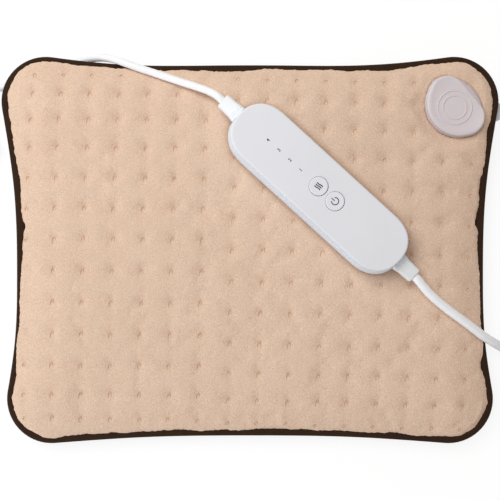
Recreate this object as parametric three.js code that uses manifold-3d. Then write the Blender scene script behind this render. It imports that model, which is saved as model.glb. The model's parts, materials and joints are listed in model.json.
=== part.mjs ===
// Heating pad with a hand controller, in millimetres, +Z up, the pad flat on z = 0.
import * as THREE from 'three';
import { mergeVertices } from 'three/addons/utils/BufferGeometryUtils.js';
import Module from 'manifold-3d';

// General
const GAP = 0.3;
const WALL = 2.0;

// Pad outline
const PAD_TOP_WIDTH = 400;
const PAD_BOTTOM_WIDTH = 391;
const PAD_DEPTH = 311;
const PAD_SIDE_DRAW = 12.5;
const PAD_TOP_DRAW = 6.8;
const PAD_BOTTOM_DRAW = 6.2;
const PAD_WAIST_SHIFT = -18;
const PAD_CORNER_RADIUS = 36;
const PAD_SIDE_FLARE = 10;
const PAD_TOP_FLARE = 8;
const PAD_BOTTOM_FLARE = 4.5;

// Pad section
const SEAM_HEIGHT = 12.5;
const CROWN_HEIGHT = 25;
const CROWN_REACH = 45;
const UNDERSIDE_REACH = 48;
const QUILT_EDGE_RISE = 4.6;
const RIM_THICKNESS = 0.9;
const RIM_INSET = 2.6;
const ELEMENT_GAP = 2.8;
const BINDING_WIDTH = 7;
const BINDING_HEIGHT = 8;
const BINDING_TAPE = 1.4;

// Tufts
const TUFT_COLUMNS = 16;
const TUFT_ROWS = 13;
const TUFT_PITCH_X = 23.8;
const TUFT_PITCH_Y = 24.8;
const TUFT_SQUEEZE_X = 0.012;
const TUFT_SQUEEZE_Y = 0.079;
const TUFT_SHIFT_X = -2.4;
const TUFT_LEAN = 4.5;
const TUFT_LEFT_RAISE = 8.2;
const TUFT_LEFT_TILT = -1.7;
const TUFT_RIGHT_RAISE = 0.5;
const TUFT_RIGHT_TILT = -5;
const TUFT_PANEL_FROM = -36;
const TUFT_PANEL_TO = -13;
const TUFT_DEPTH = 4.5;

// Heating element
const CARRIER_INSET = 24;
const CARRIER_THICKNESS = 0.6;
const WIRE_DIAMETER = 1.4;
const WIRE_ROWS = 11;
const WIRE_END_MARGIN = 45.5;
const WIRE_SIDE_MARGIN = 62;
const CUTOUT_LENGTH = 14;
const CUTOUT_WIDTH = 5;
const CUTOUT_HEIGHT = 4;

// Socket on the pad
const SOCKET_FROM_SIDE = 38.2;
const SOCKET_FROM_END = 42.8;
const SOCKET_ANGLE = 39.5;
const SOCKET_COVER_HEIGHT = 10.5;
const SOCKET_COVER_DRAFT = 1.5;
const SOCKET_BASE_HEIGHT = 9.2;
const SOCKET_BASE_FLOOR = 0.3;
const SOCKET_RADIUS = 21;
const SOCKET_BASE_PLAN = { radius: SOCKET_RADIUS, shift: 4.2, horn: 7, lean: 18, reach: 14, end: -21 };
const SOCKET_COVER_PLAN = { radius: 25.5, shift: 5.2, horn: 14.2, lean: 28.6, reach: 3.6, end: 5 };
const SOCKET_FOOT_PLAN = { ...SOCKET_COVER_PLAN, end: 40 };
const SOCKET_FOOT_BULGE = 8.4;
const SOCKET_RING_RADIUS = 13.1;
const SOCKET_RING_STEP = 3.6;
const SOCKET_RING_WIDTH = 0.9;
const SOCKET_RING_RISE = 0.4;
const SOCKET_BOSS_RADIUS = 2.7;
const SOCKET_PIN_DIAMETER = 2;
const SOCKET_PIN_PITCH = 7;

// Pad plug
const PAD_PLUG_WIDTH = 22;
const PAD_PLUG_TONGUE = 15;
const PAD_PLUG_TONGUE_HEIGHT = 5.4;
const PAD_PLUG_GRIP = 20;
const PAD_PLUG_GRIP_HEIGHT = 7.6;
const PAD_PLUG_RELIEF = 20;

// Controller
const HANDSET_X = 53.4;
const HANDSET_Y = 48;
const HANDSET_ANGLE = 42.45;
const HANDSET_LENGTH = 172;
const HANDSET_WIDTH = 51.6;
const HANDSET_HEIGHT = 22;
const HANDSET_CAP = 29;
const HANDSET_CAP_POWER = 2.3;
const HANDSET_DRAFT = 3;
const HANDSET_PARTING = 11;
const HANDSET_FOOT = 3;
const LEAD_AXIS_HEIGHT = 9;
const POST_FROM_END = 28;
const POST_Y = 16.5;
const POST_RADIUS = 3.3;
const CASE_SCREW_DIAMETER = 2.4;

// Buttons
const BUTTON_DIAMETER = 14.6;
const BUTTON_SPACING = 17;
const BUTTON_HEAT_X = -1.2;
const BUTTON_CLEARANCE = 0.35;
const BUTTON_PROUD = 0.5;
const BUTTON_TRAVEL = 0.8;
const BUTTON_FLANGE = 0.6;

// Controller electronics
const BOARD_FROM_END = 23;
const BOARD_WIDTH = 35;
const BOARD_THICKNESS = 1.6;
const BOARD_HEIGHT = 4.8;
const LAMP_SPACING = 11.3;
const LAMP_FROM_END = 32.5;
const LAMP_COUNT = 4;
const SWITCH_SIZE = 6.2;
const SWITCH_HEIGHT = 3.6;

// Strain reliefs on the controller
const GROMMET_LENGTH = 12.6;
const GROMMET_WIDTH = 12.4;
const GROMMET_HEIGHT = 8.8;
const GROMMET_FLANGE = 2.4;
const GROMMET_FLANGE_WIDTH = 14.6;
const GROMMET_NECK = 8;

// Leads and mains plug
const PAD_LEAD_DIAMETER = 7.2;
const MAINS_LEAD_DIAMETER = 6.2;
const COIL_X = -260;
const COIL_Y = 84.6;
const COIL_OUTER_RADIUS = 48;
const COIL_PITCH = 7.6;
const COIL_LAYER = 7;
const COIL_LOWER_TURNS = 3;
const COIL_UPPER_TURNS = 2.8333;
const COIL_STEPS = 24;
const COIL_SIDES = 6;
const COIL_LIFT = 1.3;
const TIE_WIDTH = 8;
const TIE_THICKNESS = 0.8;
const PLUG_WIDTH = 35.3;
const PLUG_THICKNESS = 13.7;
const PLUG_LENGTH = 34;
const PLUG_RELIEF = 20;
const PLUG_PIN_DIAMETER = 4;
const PLUG_PIN_LENGTH = 19;
const PLUG_PIN_PITCH = 18.6;

const wasm = await Module();
wasm.setup();

const rad = THREE.MathUtils.degToRad;
const v2 = (x, y) => new THREE.Vector2(x, y);
const v3 = (x, y, z) => new THREE.Vector3(x, y, z);

// Finishes
function finish(colour, roughness, metalness = 0) {
  return new THREE.MeshStandardMaterial({ color: colour, roughness, metalness });
}

const FLEECE = finish(0xe4cbb4, 0.95);
const BACKING = finish(0xe0c8b2, 0.95);
const BINDING = finish(0x3a2415, 0.9);
const CARRIER = finish(0xe8e4da, 0.95);
const HEAT_WIRE = finish(0xd8d2c4, 0.6);
const WHITE_SHELL = finish(0xdcdce0, 0.42);
const WHITE_BUTTON = finish(0xe2e2e6, 0.38);
const SOCKET_SHELL = finish(0xcbc4c8, 0.42);
const CORD = finish(0xe6e6e6, 0.5);
const GROMMET = finish(0xd8d8da, 0.55);
const BOARD = finish(0x2f6a3c, 0.5);
const DARK = finish(0x222226, 0.5);
const CLEAR = finish(0xdfe6ea, 0.2);
const AMBER = finish(0xe8a05a, 0.3);
const STEEL = finish(0xa8abb0, 0.35, 1);
const BRASS = finish(0xc9a24a, 0.35, 1);
const STRAP = finish(0x2b2b2e, 0.7);

// Solids
function solid(geometry) {
  const bare = new THREE.BufferGeometry();
  bare.setAttribute('position', geometry.getAttribute('position').clone());
  if (geometry.index) bare.setIndex(geometry.index.clone());
  const welded = mergeVertices(bare, 1e-4);
  const kept = [];
  const corners = welded.index.array;
  for (let i = 0; i < corners.length; i += 3) {
    const [a, b, c] = [corners[i], corners[i + 1], corners[i + 2]];
    if (a !== b && b !== c && c !== a) kept.push(a, b, c);
  }
  const positions = new Float32Array(welded.getAttribute('position').array);
  const mesh = { numProp: 3, vertProperties: positions, triVerts: new Uint32Array(kept) };
  return new wasm.Manifold(new wasm.Mesh(mesh));
}

function geometryOf(body) {
  const mesh = body.getMesh();
  const geometry = new THREE.BufferGeometry();
  geometry.setAttribute('position', new THREE.BufferAttribute(new Float32Array(mesh.vertProperties), 3));
  geometry.setIndex(new THREE.BufferAttribute(new Uint32Array(mesh.triVerts), 1));
  const flat = geometry.toNonIndexed();
  flat.computeVertexNormals();
  return flat;
}

function named(name, body, material) {
  const mesh = new THREE.Mesh(geometryOf(body), material);
  mesh.name = name;
  return mesh;
}

function sub(name) {
  const group = new THREE.Group();
  group.name = name;
  return group;
}

// A flat shape raised from z = low to z = high.
function prism(shape, low, high) {
  const geometry = new THREE.ExtrudeGeometry(shape, { depth: high - low, bevelEnabled: false });
  return solid(geometry.translate(0, 0, low));
}

function box(x, y, z, sx, sy, sz) {
  return solid(new THREE.BoxGeometry(sx, sy, sz).translate(x, y, z + sz / 2));
}

// A turned body from (radius, height) pairs that start and end on the axis.
function turned(profile, segments) {
  const points = profile.map(([r, z]) => v2(r, z));
  const geometry = new THREE.LatheGeometry(points, segments);
  return solid(geometry.rotateX(Math.PI / 2));
}

function rod(radius, low, high, segments = 12) {
  return turned([[0, low], [radius, low], [radius, high], [0, high]], segments);
}

function roundedRect(width, depth, radius, steps = 4) {
  const shape = new THREE.Shape();
  const x = width / 2 - radius;
  const y = depth / 2 - radius;
  const points = [];
  for (const [cx, cy, start] of [[x, y, 0], [-x, y, 90], [-x, -y, 180], [x, -y, 270]]) {
    for (let i = 0; i <= steps; i += 1) {
      const a = rad(start + (90 * i) / steps);
      points.push(v2(cx + radius * Math.cos(a), cy + radius * Math.sin(a)));
    }
  }
  return shape.setFromPoints(points);
}

// Rings of equal count joined from the first to the last, both ends closed.
function loft(rings) {
  const count = rings[0].length;
  const positions = rings.flat().flatMap((p) => [p.x, p.y, p.z]);
  const index = [];
  for (let r = 0; r + 1 < rings.length; r += 1) {
    for (let i = 0; i < count; i += 1) {
      const j = (i + 1) % count;
      const [a, b, c, d] = [r * count + i, r * count + j, (r + 1) * count + j, (r + 1) * count + i];
      index.push(a, b, c, a, c, d);
    }
  }
  const last = (rings.length - 1) * count;
  for (const [a, b, c] of capTriangles(rings[0])) index.push(c, b, a);
  for (const [a, b, c] of capTriangles(rings.at(-1))) index.push(last + a, last + b, last + c);
  return solid(indexed(positions, index));
}

// Rings joined in turn with the last one joined to the first, as round a closed loop.
function ringLoop(rings) {
  const count = rings[0].length;
  const positions = rings.flat().flatMap((p) => [p.x, p.y, p.z]);
  const index = [];
  for (let r = 0; r < rings.length; r += 1) {
    const s = (r + 1) % rings.length;
    for (let i = 0; i < count; i += 1) {
      const j = (i + 1) % count;
      const [a, b, c, d] = [r * count + i, r * count + j, s * count + j, s * count + i];
      index.push(a, b, c, a, c, d);
    }
  }
  return solid(indexed(positions, index));
}

function indexed(positions, index) {
  const geometry = new THREE.BufferGeometry();
  geometry.setAttribute('position', new THREE.Float32BufferAttribute(positions, 3));
  geometry.setIndex(index);
  return geometry;
}

function capTriangles(ring) {
  const normal = v3(0, 0, 0);
  ring.forEach((p, i) => normal.add(p.clone().cross(ring[(i + 1) % ring.length])));
  normal.normalize();
  const side = Math.abs(normal.z) > 0.9 ? v3(1, 0, 0) : v3(0, 0, 1);
  const across = side.clone().cross(normal).normalize();
  const along = normal.clone().cross(across);
  const flat = ring.map((p) => v2(p.dot(along), -p.dot(across)));
  const turnedOver = THREE.ShapeUtils.isClockWise(flat);
  const faces = THREE.ShapeUtils.triangulateShape(flat, []);
  return turnedOver ? faces.map(([a, b, c]) => [a, c, b]) : faces;
}

// A round tube along a smooth path through the given points.
function tube(points, diameter, sides, steps) {
  const path = new THREE.CatmullRomCurve3(points, false, 'centripetal');
  const section = new THREE.Shape();
  const circle = [];
  for (let i = 0; i < sides; i += 1) {
    const a = (2 * Math.PI * i) / sides;
    circle.push(v2((diameter / 2) * Math.cos(a), (diameter / 2) * Math.sin(a)));
  }
  section.setFromPoints(circle);
  return solid(new THREE.ExtrudeGeometry(section, { steps, extrudePath: path, bevelEnabled: false }));
}

// A round tube through exactly the given points, as wound wire is made.
function woundTube(points, diameter, sides) {
  const rings = [];
  let normal = v3(0, 0, 1);
  points.forEach((p, i) => {
    const before = points[Math.max(i - 1, 0)];
    const after = points[Math.min(i + 1, points.length - 1)];
    const heading = after.clone().sub(before).normalize();
    normal = normal.clone().addScaledVector(heading, -normal.dot(heading)).normalize();
    const across = heading.clone().cross(normal);
    const ring = [];
    for (let k = 0; k < sides; k += 1) {
      const a = (2 * Math.PI * k) / sides;
      const offset = normal.clone().multiplyScalar(Math.cos(a)).addScaledVector(across, -Math.sin(a));
      ring.push(p.clone().addScaledVector(offset, diameter / 2));
    }
    rings.push(ring.reverse());
  });
  return loft(rings);
}

function turnZ(body, degrees) {
  return body.rotate([0, 0, degrees]);
}

// Pad outline
const SIDE_WAIST = PAD_TOP_WIDTH / 2 - PAD_SIDE_DRAW;

// A quarter of the outline from the side's waist to the end's waist, on the +X +Y side.
function outlineQuarter(earX, earY, waistShift, waist, flare, inset) {
  const radius = Math.max(PAD_CORNER_RADIUS - inset, 6);
  const centre = v2(earX - inset - radius, earY - inset - radius);
  const start = -rad(PAD_SIDE_FLARE);
  const end = rad(90 + flare);
  const onArc = (a) => v2(centre.x + radius * Math.cos(a), centre.y + radius * Math.sin(a));
  const heading = (a) => v2(-Math.sin(a), Math.cos(a));
  const side = v2(SIDE_WAIST - inset, waistShift);
  const top = v2(0, waist - inset);
  const [from, to] = [onArc(start), onArc(end)];
  const sidePull = (from.y - side.y) * 0.42;
  const topPull = to.x * 0.42;
  const rise = new THREE.CubicBezierCurve(
    side, v2(side.x, side.y + sidePull), from.clone().addScaledVector(heading(start), -sidePull), from);
  const run = new THREE.CubicBezierCurve(
    to, to.clone().addScaledVector(heading(end), topPull), v2(topPull, top.y), top);
  const points = rise.getPoints(3).slice(0, -1);
  for (let i = 0; i <= 5; i += 1) points.push(onArc(start + ((end - start) * i) / 5));
  return [...points, ...run.getPoints(3).slice(1)];
}

function padOutline(inset) {
  const [topX, bottomX, earY] = [PAD_TOP_WIDTH / 2, PAD_BOTTOM_WIDTH / 2, PAD_DEPTH / 2];
  const [topWaist, bottomWaist] = [earY - PAD_TOP_DRAW, earY - PAD_BOTTOM_DRAW];
  const upper = outlineQuarter(topX, earY, PAD_WAIST_SHIFT, topWaist, PAD_TOP_FLARE, inset);
  const lower = outlineQuarter(bottomX, earY, -PAD_WAIST_SHIFT, bottomWaist, PAD_BOTTOM_FLARE, inset);
  const mirrored = (points, sx, sy) => points.map((p) => v2(p.x * sx, p.y * sy));
  return [
    ...upper.slice(0, -1),
    ...mirrored(upper, -1, 1).reverse().slice(0, -1),
    ...mirrored(lower, -1, -1).slice(0, -1),
    ...mirrored(lower, 1, -1).reverse().slice(0, -1),
  ];
}

const padRing = (inset, z) => padOutline(inset).map((p) => v3(p.x, p.y, z));
const padShape = (inset) => new THREE.Shape().setFromPoints(padOutline(inset));
const OUTER = padOutline(0);

function edgeDistance(x, y) {
  let least = Infinity;
  let inside = false;
  OUTER.forEach((a, i) => {
    const b = OUTER[(i + 1) % OUTER.length];
    const along = b.clone().sub(a);
    const t = THREE.MathUtils.clamp(v2(x, y).sub(a).dot(along) / along.lengthSq(), 0, 1);
    least = Math.min(least, a.clone().addScaledVector(along, t).distanceTo(v2(x, y)));
    if ((a.y > y) !== (b.y > y) && x < ((b.x - a.x) * (y - a.y)) / (b.y - a.y) + a.x) inside = !inside;
  });
  return inside ? least : -least;
}

// Where the parts of the pad lie
const BODY_INSET = BINDING_WIDTH + 0.4;
const FRONT_FLOOR = SEAM_HEIGHT + ELEMENT_GAP / 2;
const BACK_ROOF = SEAM_HEIGHT - ELEMENT_GAP / 2;
const SOCKET_X = PAD_TOP_WIDTH / 2 - SOCKET_FROM_SIDE;
const SOCKET_Y = PAD_DEPTH / 2 - SOCKET_FROM_END;
const SOCKET_SEAT = FRONT_FLOOR + 1.6;
const SOCKET_POCKET = SOCKET_BASE_FLOOR + SOCKET_BASE_HEIGHT + GAP;

function crownAt(x, y) {
  const d = edgeDistance(x, y) - BODY_INSET;
  const t = THREE.MathUtils.clamp(d / (CROWN_REACH - BODY_INSET), 0, 1);
  const edge = SEAM_HEIGHT + QUILT_EDGE_RISE;
  return edge + (CROWN_HEIGHT - edge) * (1 - (1 - t) ** 2.2);
}

function tuftPlace(i, count, pitch, squeeze) {
  const half = (count - 1) / 2;
  const n = i - half;
  return pitch * n * (1 - squeeze * (n / half) ** 4);
}

function quiltLines(count, pitch, squeeze, shift, reach) {
  const tufts = [];
  for (let i = 0; i < count; i += 1) tufts.push(tuftPlace(i, count, pitch, squeeze) + shift);
  const lines = [{ at: -reach, tuft: false, edge: true }];
  tufts.forEach((at, i) => {
    if (i) lines.push({ at: (tufts[i - 1] + at) / 2, tuft: false, edge: false });
    lines.push({ at, tuft: true, edge: false });
  });
  lines.push({ at: reach, tuft: false, edge: true });
  return lines;
}

// The rows of the left panel are sewn higher than those of the right one.
function tuftRaise(x) {
  const n = x / (PAD_TOP_WIDTH / 2);
  const panel = THREE.MathUtils.smoothstep(x, TUFT_PANEL_FROM, TUFT_PANEL_TO);
  const [left, right] = [TUFT_LEFT_RAISE + TUFT_LEFT_TILT * n, TUFT_RIGHT_RAISE + TUFT_RIGHT_TILT * n];
  return THREE.MathUtils.lerp(left, right, panel);
}

// The crowned, tufted upper surface over a flat underside.
function quiltBody(floor) {
  const reachX = PAD_TOP_WIDTH / 2 - BODY_INSET + 1;
  const xs = quiltLines(TUFT_COLUMNS, TUFT_PITCH_X, TUFT_SQUEEZE_X, TUFT_SHIFT_X, reachX);
  const reachY = PAD_DEPTH / 2 - BODY_INSET + 1;
  const ys = quiltLines(TUFT_ROWS, TUFT_PITCH_Y, TUFT_SQUEEZE_Y, 0, reachY);
  const positions = [];
  const index = [];
  const at = (i, j) => j * xs.length + i;
  ys.forEach((row) => xs.forEach((column) => {
    const x = column.at + (column.edge ? 0 : (TUFT_LEAN * row.at) / (PAD_DEPTH / 2));
    const y = row.at + (row.edge ? 0 : tuftRaise(column.at));
    const sewn = column.tuft && row.tuft;
    const depth = TUFT_DEPTH * THREE.MathUtils.smoothstep(edgeDistance(x, y), BODY_INSET, 28);
    positions.push(x, y, crownAt(x, y) - (sewn ? depth : 0));
  }));
  for (let j = 0; j + 1 < ys.length; j += 1) {
    for (let i = 0; i + 1 < xs.length; i += 1) {
      const [a, b, c, d] = [at(i, j), at(i + 1, j), at(i + 1, j + 1), at(i, j + 1)];
      const straight = (xs[i].tuft && ys[j].tuft) || (xs[i + 1].tuft && ys[j + 1].tuft);
      if (straight) index.push(a, b, c, a, c, d);
      else index.push(a, b, d, b, c, d);
    }
  }
  const rim = [];
  for (let i = 0; i + 1 < xs.length; i += 1) rim.push(at(i, 0));
  for (let j = 0; j + 1 < ys.length; j += 1) rim.push(at(xs.length - 1, j));
  for (let i = xs.length - 1; i > 0; i -= 1) rim.push(at(i, ys.length - 1));
  for (let j = ys.length - 1; j > 0; j -= 1) rim.push(at(0, j));
  const low = positions.length / 3;
  rim.forEach((k) => positions.push(positions[3 * k], positions[3 * k + 1], floor));
  const middle = positions.length / 3;
  positions.push(0, 0, floor);
  rim.forEach((top, k) => {
    const next = (k + 1) % rim.length;
    index.push(top, low + k, low + next, top, low + next, rim[next], middle, low + next, low + k);
  });
  return solid(indexed(positions, index));
}

// Socket outline, the flat side facing local +X
function socketOutline(plan, grow, dip, hornSteps = 5, backSteps = 7) {
  const lean = rad(plan.lean);
  const big = plan.radius + grow;
  const horn = plan.horn + grow;
  const normal = v2(-Math.sin(lean), Math.cos(lean));
  const inner = plan.radius - plan.horn;
  const hornX = plan.shift + inner * normal.x + plan.reach * Math.cos(lean);
  const hornY = inner * normal.y + plan.reach * Math.sin(lean);
  const upper = [];
  const hornEnd = rad(plan.end);
  const hornStart = Math.PI / 2 + lean;
  for (let i = 0; i <= hornSteps; i += 1) {
    const a = hornEnd + ((hornStart - hornEnd) * i) / hornSteps;
    upper.push(v2(hornX + horn * Math.cos(a), hornY + horn * Math.sin(a)));
  }
  for (let i = 1; i <= backSteps; i += 1) {
    const a = hornStart + ((Math.PI - hornStart) * i) / backSteps;
    upper.push(v2(plan.shift + big * Math.cos(a), big * Math.sin(a)));
  }
  const lower = upper.slice(0, -1).reverse().map((p) => v2(p.x, -p.y));
  const [from, to] = [lower.at(-1), upper[0]];
  const notch = new THREE.QuadraticBezierCurve(from, v2(from.x - dip * 2, 0), to);
  return [...upper, ...lower, ...notch.getPoints(5).slice(1, -1)];
}

// A ring of the cover: its dipped outline, blended by a share with the full outline of its foot
function socketRing(grow, dip, z, foot = 0) {
  const full = socketOutline(SOCKET_FOOT_PLAN, grow, -SOCKET_FOOT_BULGE);
  const dipped = socketOutline(SOCKET_COVER_PLAN, grow, dip);
  return dipped.map((p, i) => p.lerp(full[i], foot)).map((p) => v3(p.x, p.y, z));
}

function socketShape(plan, grow, bulge = 0) {
  const points = socketOutline(plan, grow, -bulge, 3, 3);
  return new THREE.Shape().setFromPoints(bulge > 0 ? points : points.slice(0, -4));
}

const SOCKET_BOSSES = [v2(-1, 17), v2(6, -15), v2(-11, 8)];
const SOCKET_MOUTH = Math.max(...socketOutline(SOCKET_BASE_PLAN, 0, 0).map((p) => p.x));

// Pad layers
function frontCover() {
  const rim = prism(padShape(RIM_INSET), FRONT_FLOOR, FRONT_FLOOR + RIM_THICKNESS);
  const bounds = prism(padShape(BODY_INSET), FRONT_FLOOR, CROWN_HEIGHT + 5);
  const body = quiltBody(FRONT_FLOOR - 5).intersect(bounds);
  const opening = socketShape(SOCKET_FOOT_PLAN, SOCKET_COVER_DRAFT + 1.5, SOCKET_FOOT_BULGE);
  const seat = turnZ(prism(opening, SOCKET_SEAT, CROWN_HEIGHT + 5), SOCKET_ANGLE);
  let cover = rim.add(body).subtract(seat.translate([SOCKET_X, SOCKET_Y, 0]));
  for (const boss of SOCKET_BOSSES) {
    const hole = rod((SOCKET_BOSS_RADIUS + GAP) * 1.16, 0, CROWN_HEIGHT, 6);
    cover = cover.subtract(hole.translate([SOCKET_X + boss.x, SOCKET_Y + boss.y, 0]));
  }
  for (const place of CUTOUT_PLACES) {
    const pocket = box(0, 0, 0, CUTOUT_LENGTH + 1, CUTOUT_WIDTH + 1, ELEMENT_TOP + 0.5);
    cover = cover.subtract(pocket.translate([place.x, place.y, 0]));
  }
  return cover;
}

function backCover() {
  const foot = BODY_INSET + UNDERSIDE_REACH - 8;
  const edge = SEAM_HEIGHT - BINDING_HEIGHT / 2;
  let cover = loft([
    padRing(foot, 0),
    padRing(BODY_INSET, edge),
    padRing(BODY_INSET, BACK_ROOF - RIM_THICKNESS),
    padRing(RIM_INSET, BACK_ROOF - RIM_THICKNESS),
    padRing(RIM_INSET, BACK_ROOF),
  ]);
  const pocket = prism(socketShape(SOCKET_BASE_PLAN, 1.2 + 1), -1, SOCKET_POCKET);
  cover = cover.subtract(pocket.translate([SOCKET_X, SOCKET_Y, 0]));
  const way = box(SOCKET_MOUTH + 20, 0, -1, 40, PAD_PLUG_WIDTH + 8, edge + 1.1);
  cover = cover.subtract(way.translate([SOCKET_X, SOCKET_Y, 0]));
  for (const boss of SOCKET_BOSSES) {
    const hole = rod((SOCKET_BOSS_RADIUS + GAP) * 1.16, 0, CROWN_HEIGHT, 6);
    cover = cover.subtract(hole.translate([SOCKET_X + boss.x, SOCKET_Y + boss.y, 0]));
  }
  const wires = rod(WIRE_HOLE, 0, CROWN_HEIGHT, 12);
  return cover.subtract(wires.translate([SOCKET_X + WIRE_HOLE_X, SOCKET_Y, 0]));
}

function edgeBinding() {
  const [half, slot] = [BINDING_HEIGHT / 2, ELEMENT_GAP / 2 + RIM_THICKNESS + GAP];
  const wall = RIM_INSET - GAP;
  const soft = 3;
  const section = [[BINDING_WIDTH, -half], [soft, -half]];
  for (let i = 1; i <= 5; i += 1) {
    const a = rad(-90 + i * 30);
    const side = Math.sign(i - 3) * (half - soft);
    section.push([soft - soft * Math.cos(a), soft * Math.sin(a) + side]);
  }
  section.push([soft, half], [BINDING_WIDTH, half]);
  section.push([BINDING_WIDTH, slot], [wall, slot], [wall, -slot], [BINDING_WIDTH, -slot]);
  return ringLoop(section.map(([inset, v]) => padRing(inset, SEAM_HEIGHT + v)));
}

// Heating element
const WIRE_PITCH = (PAD_DEPTH - 2 * WIRE_END_MARGIN) / (WIRE_ROWS - 1);
const WIRE_SPAN = PAD_TOP_WIDTH - 2 * WIRE_SIDE_MARGIN;
const WIRE_Z = FRONT_FLOOR - GAP - WIRE_DIAMETER / 2;
const CARRIER_Z = BACK_ROOF + GAP;
const ELEMENT_TOP = CARRIER_Z + CARRIER_THICKNESS + GAP + CUTOUT_HEIGHT;
const CUTOUT_PLACES = [v2(-70, WIRE_PITCH / 2), v2(70, -WIRE_PITCH * 1.5)];
const SENSOR_PLACE = v2(60, WIRE_PITCH * 4.5);
const SENSOR_HEIGHT = ELEMENT_GAP - CARRIER_THICKNESS - 4 * GAP;
const WIRE_HOLE = 3.6;
const WIRE_HOLE_X = -4.5;

function heaterCarrier() {
  const sheet = prism(padShape(CARRIER_INSET), CARRIER_Z, CARRIER_Z + CARRIER_THICKNESS);
  const clear = rod(SOCKET_RADIUS + 9, 0, CROWN_HEIGHT, 24);
  return sheet.subtract(clear.translate([SOCKET_X, SOCKET_Y, 0]));
}

const WIRE_RIGHT = WIRE_SPAN / 2;
const WIRE_CLEAR = Math.min(SOCKET_X - SOCKET_RADIUS - 22, WIRE_RIGHT);
const WIRE_TOP = (WIRE_PITCH * (WIRE_ROWS - 1)) / 2;
const heatingStart = () => v3(WIRE_CLEAR + 6, WIRE_TOP, WIRE_Z);
const heatingFinish = () => v3(WIRE_RIGHT + WIRE_PITCH, SOCKET_Y - SOCKET_RADIUS - 18, WIRE_Z);

// The wire goes to and fro in rows and comes back up the right side.
function heatingWire() {
  const points = [heatingStart()];
  const turn = WIRE_PITCH / 2;
  const right = WIRE_RIGHT;
  const top = WIRE_TOP;
  for (let row = 0; row < WIRE_ROWS; row += 1) {
    const y = top - row * WIRE_PITCH;
    const leftward = row % 2 === 0;
    const near = y - turn > SOCKET_Y - SOCKET_RADIUS - 30 ? WIRE_CLEAR : right;
    const end = leftward ? -right : near;
    const side = leftward ? -1 : 1;
    if (row === WIRE_ROWS - 1) break;
    for (let k = 0; k <= 6; k += 1) {
      const a = rad(90 - 30 * k);
      points.push(v3(end + side * turn * Math.cos(a), y - turn + turn * Math.sin(a), WIRE_Z));
    }
  }
  const finish = heatingFinish();
  for (let k = 0; k <= 3; k += 1) {
    const a = rad(-90 + 30 * k);
    points.push(v3(finish.x - turn + turn * Math.cos(a), -top + turn + turn * Math.sin(a), WIRE_Z));
  }
  points.push(finish);
  return woundTube(points, WIRE_DIAMETER, 6);
}

function elementPiece(place, height, radius) {
  const z = CARRIER_Z + CARRIER_THICKNESS + GAP;
  const shape = roundedRect(CUTOUT_LENGTH, CUTOUT_WIDTH, radius);
  return prism(shape, z, z + height).translate([place.x, place.y, 0]);
}

// A supply or sensor wire from behind a socket pin, up through the back cover and into the pad.
function socketWire(lane, reach) {
  const x = SOCKET_X + WIRE_HOLE_X;
  const y = SOCKET_Y + lane * 2.1;
  const points = [
    v3(x, y, SOCKET_BASE_FLOOR + SOCKET_BASE_HEIGHT + 0.2),
    v3(x, y, WIRE_Z - 2),
    v3(x - 1.2, y, WIRE_Z - 0.7),
    v3(x - 4, y + lane * 0.8, WIRE_Z - 0.2),
    v3(x - 12, y + lane * 3, WIRE_Z - 0.1),
    ...reach,
  ];
  return tube(points, WIRE_DIAMETER, 6, 16);
}

// The ends of those wires, in the pad's frame.
function wireEnds() {
  const at = (x, y) => v3(x, y, WIRE_Z);
  const start = heatingStart();
  const finish = heatingFinish();
  const sensor = SENSOR_PLACE.x + CUTOUT_LENGTH / 2 + GAP;
  const { y } = SENSOR_PLACE;
  return {
    supply: [at(start.x + 9, start.y + 2), at(start.x + 5, start.y), at(start.x + GAP, start.y)],
    sensor: [at(start.x + 8, y + 5), at(start.x - 2, y), at(sensor + 20, y), at(sensor, y)],
    back: [at(finish.x - 16, finish.y + 22), at(finish.x - 7, finish.y + 10), at(finish.x, finish.y + 4),
      at(finish.x, finish.y + GAP)],
  };
}

// Socket pieces, about the socket's middle
function socketCover() {
  const h = SOCKET_COVER_HEIGHT;
  const d = SOCKET_COVER_DRAFT;
  const outer = loft([
    socketRing(d, 0, 0, 1),
    socketRing(d * 0.75, 0.6, h * 0.35, 0.8),
    socketRing(d * 0.4, 1.2, h * 0.7, 0.42),
    socketRing(0, 1.7, h - 1, 0.08),
    socketRing(-0.35, 1.8, h - 0.3),
    socketRing(-1, 1.9, h),
  ]);
  const inner = loft([socketRing(d - WALL, 0, -1), socketRing(-WALL - 0.6, 2.4, h - WALL)]);
  let cover = outer.subtract(inner);
  for (const radius of [SOCKET_RING_RADIUS, SOCKET_RING_RADIUS - SOCKET_RING_STEP]) {
    const [low, high] = [h - 0.4, h + SOCKET_RING_RISE];
    const [near, far] = [radius - SOCKET_RING_WIDTH / 2, radius + SOCKET_RING_WIDTH / 2];
    const ring = turned([[near, low], [far, low], [far - 0.2, high], [near + 0.2, high], [near, low]], 20);
    cover = cover.add(ring);
  }
  return cover;
}

function socketCoverPlaced() {
  let cover = turnZ(socketCover(), SOCKET_ANGLE).translate([SOCKET_X, SOCKET_Y, SOCKET_SEAT + GAP]);
  for (const boss of SOCKET_BOSSES) {
    const low = SOCKET_BASE_FLOOR + SOCKET_BASE_HEIGHT + GAP;
    const high = SOCKET_SEAT + SOCKET_COVER_HEIGHT - 1;
    const post = rod(SOCKET_BOSS_RADIUS, low, high).subtract(rod(1.35, low - 1, high - 2, 12));
    cover = cover.add(post.translate([SOCKET_X + boss.x, SOCKET_Y + boss.y, 0]));
  }
  return cover;
}

const PLUG_AXIS = SOCKET_BASE_FLOOR + SOCKET_BASE_HEIGHT / 2 - 0.6;
const MOUTH_BACK = SOCKET_MOUTH - PAD_PLUG_TONGUE - 1;

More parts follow.
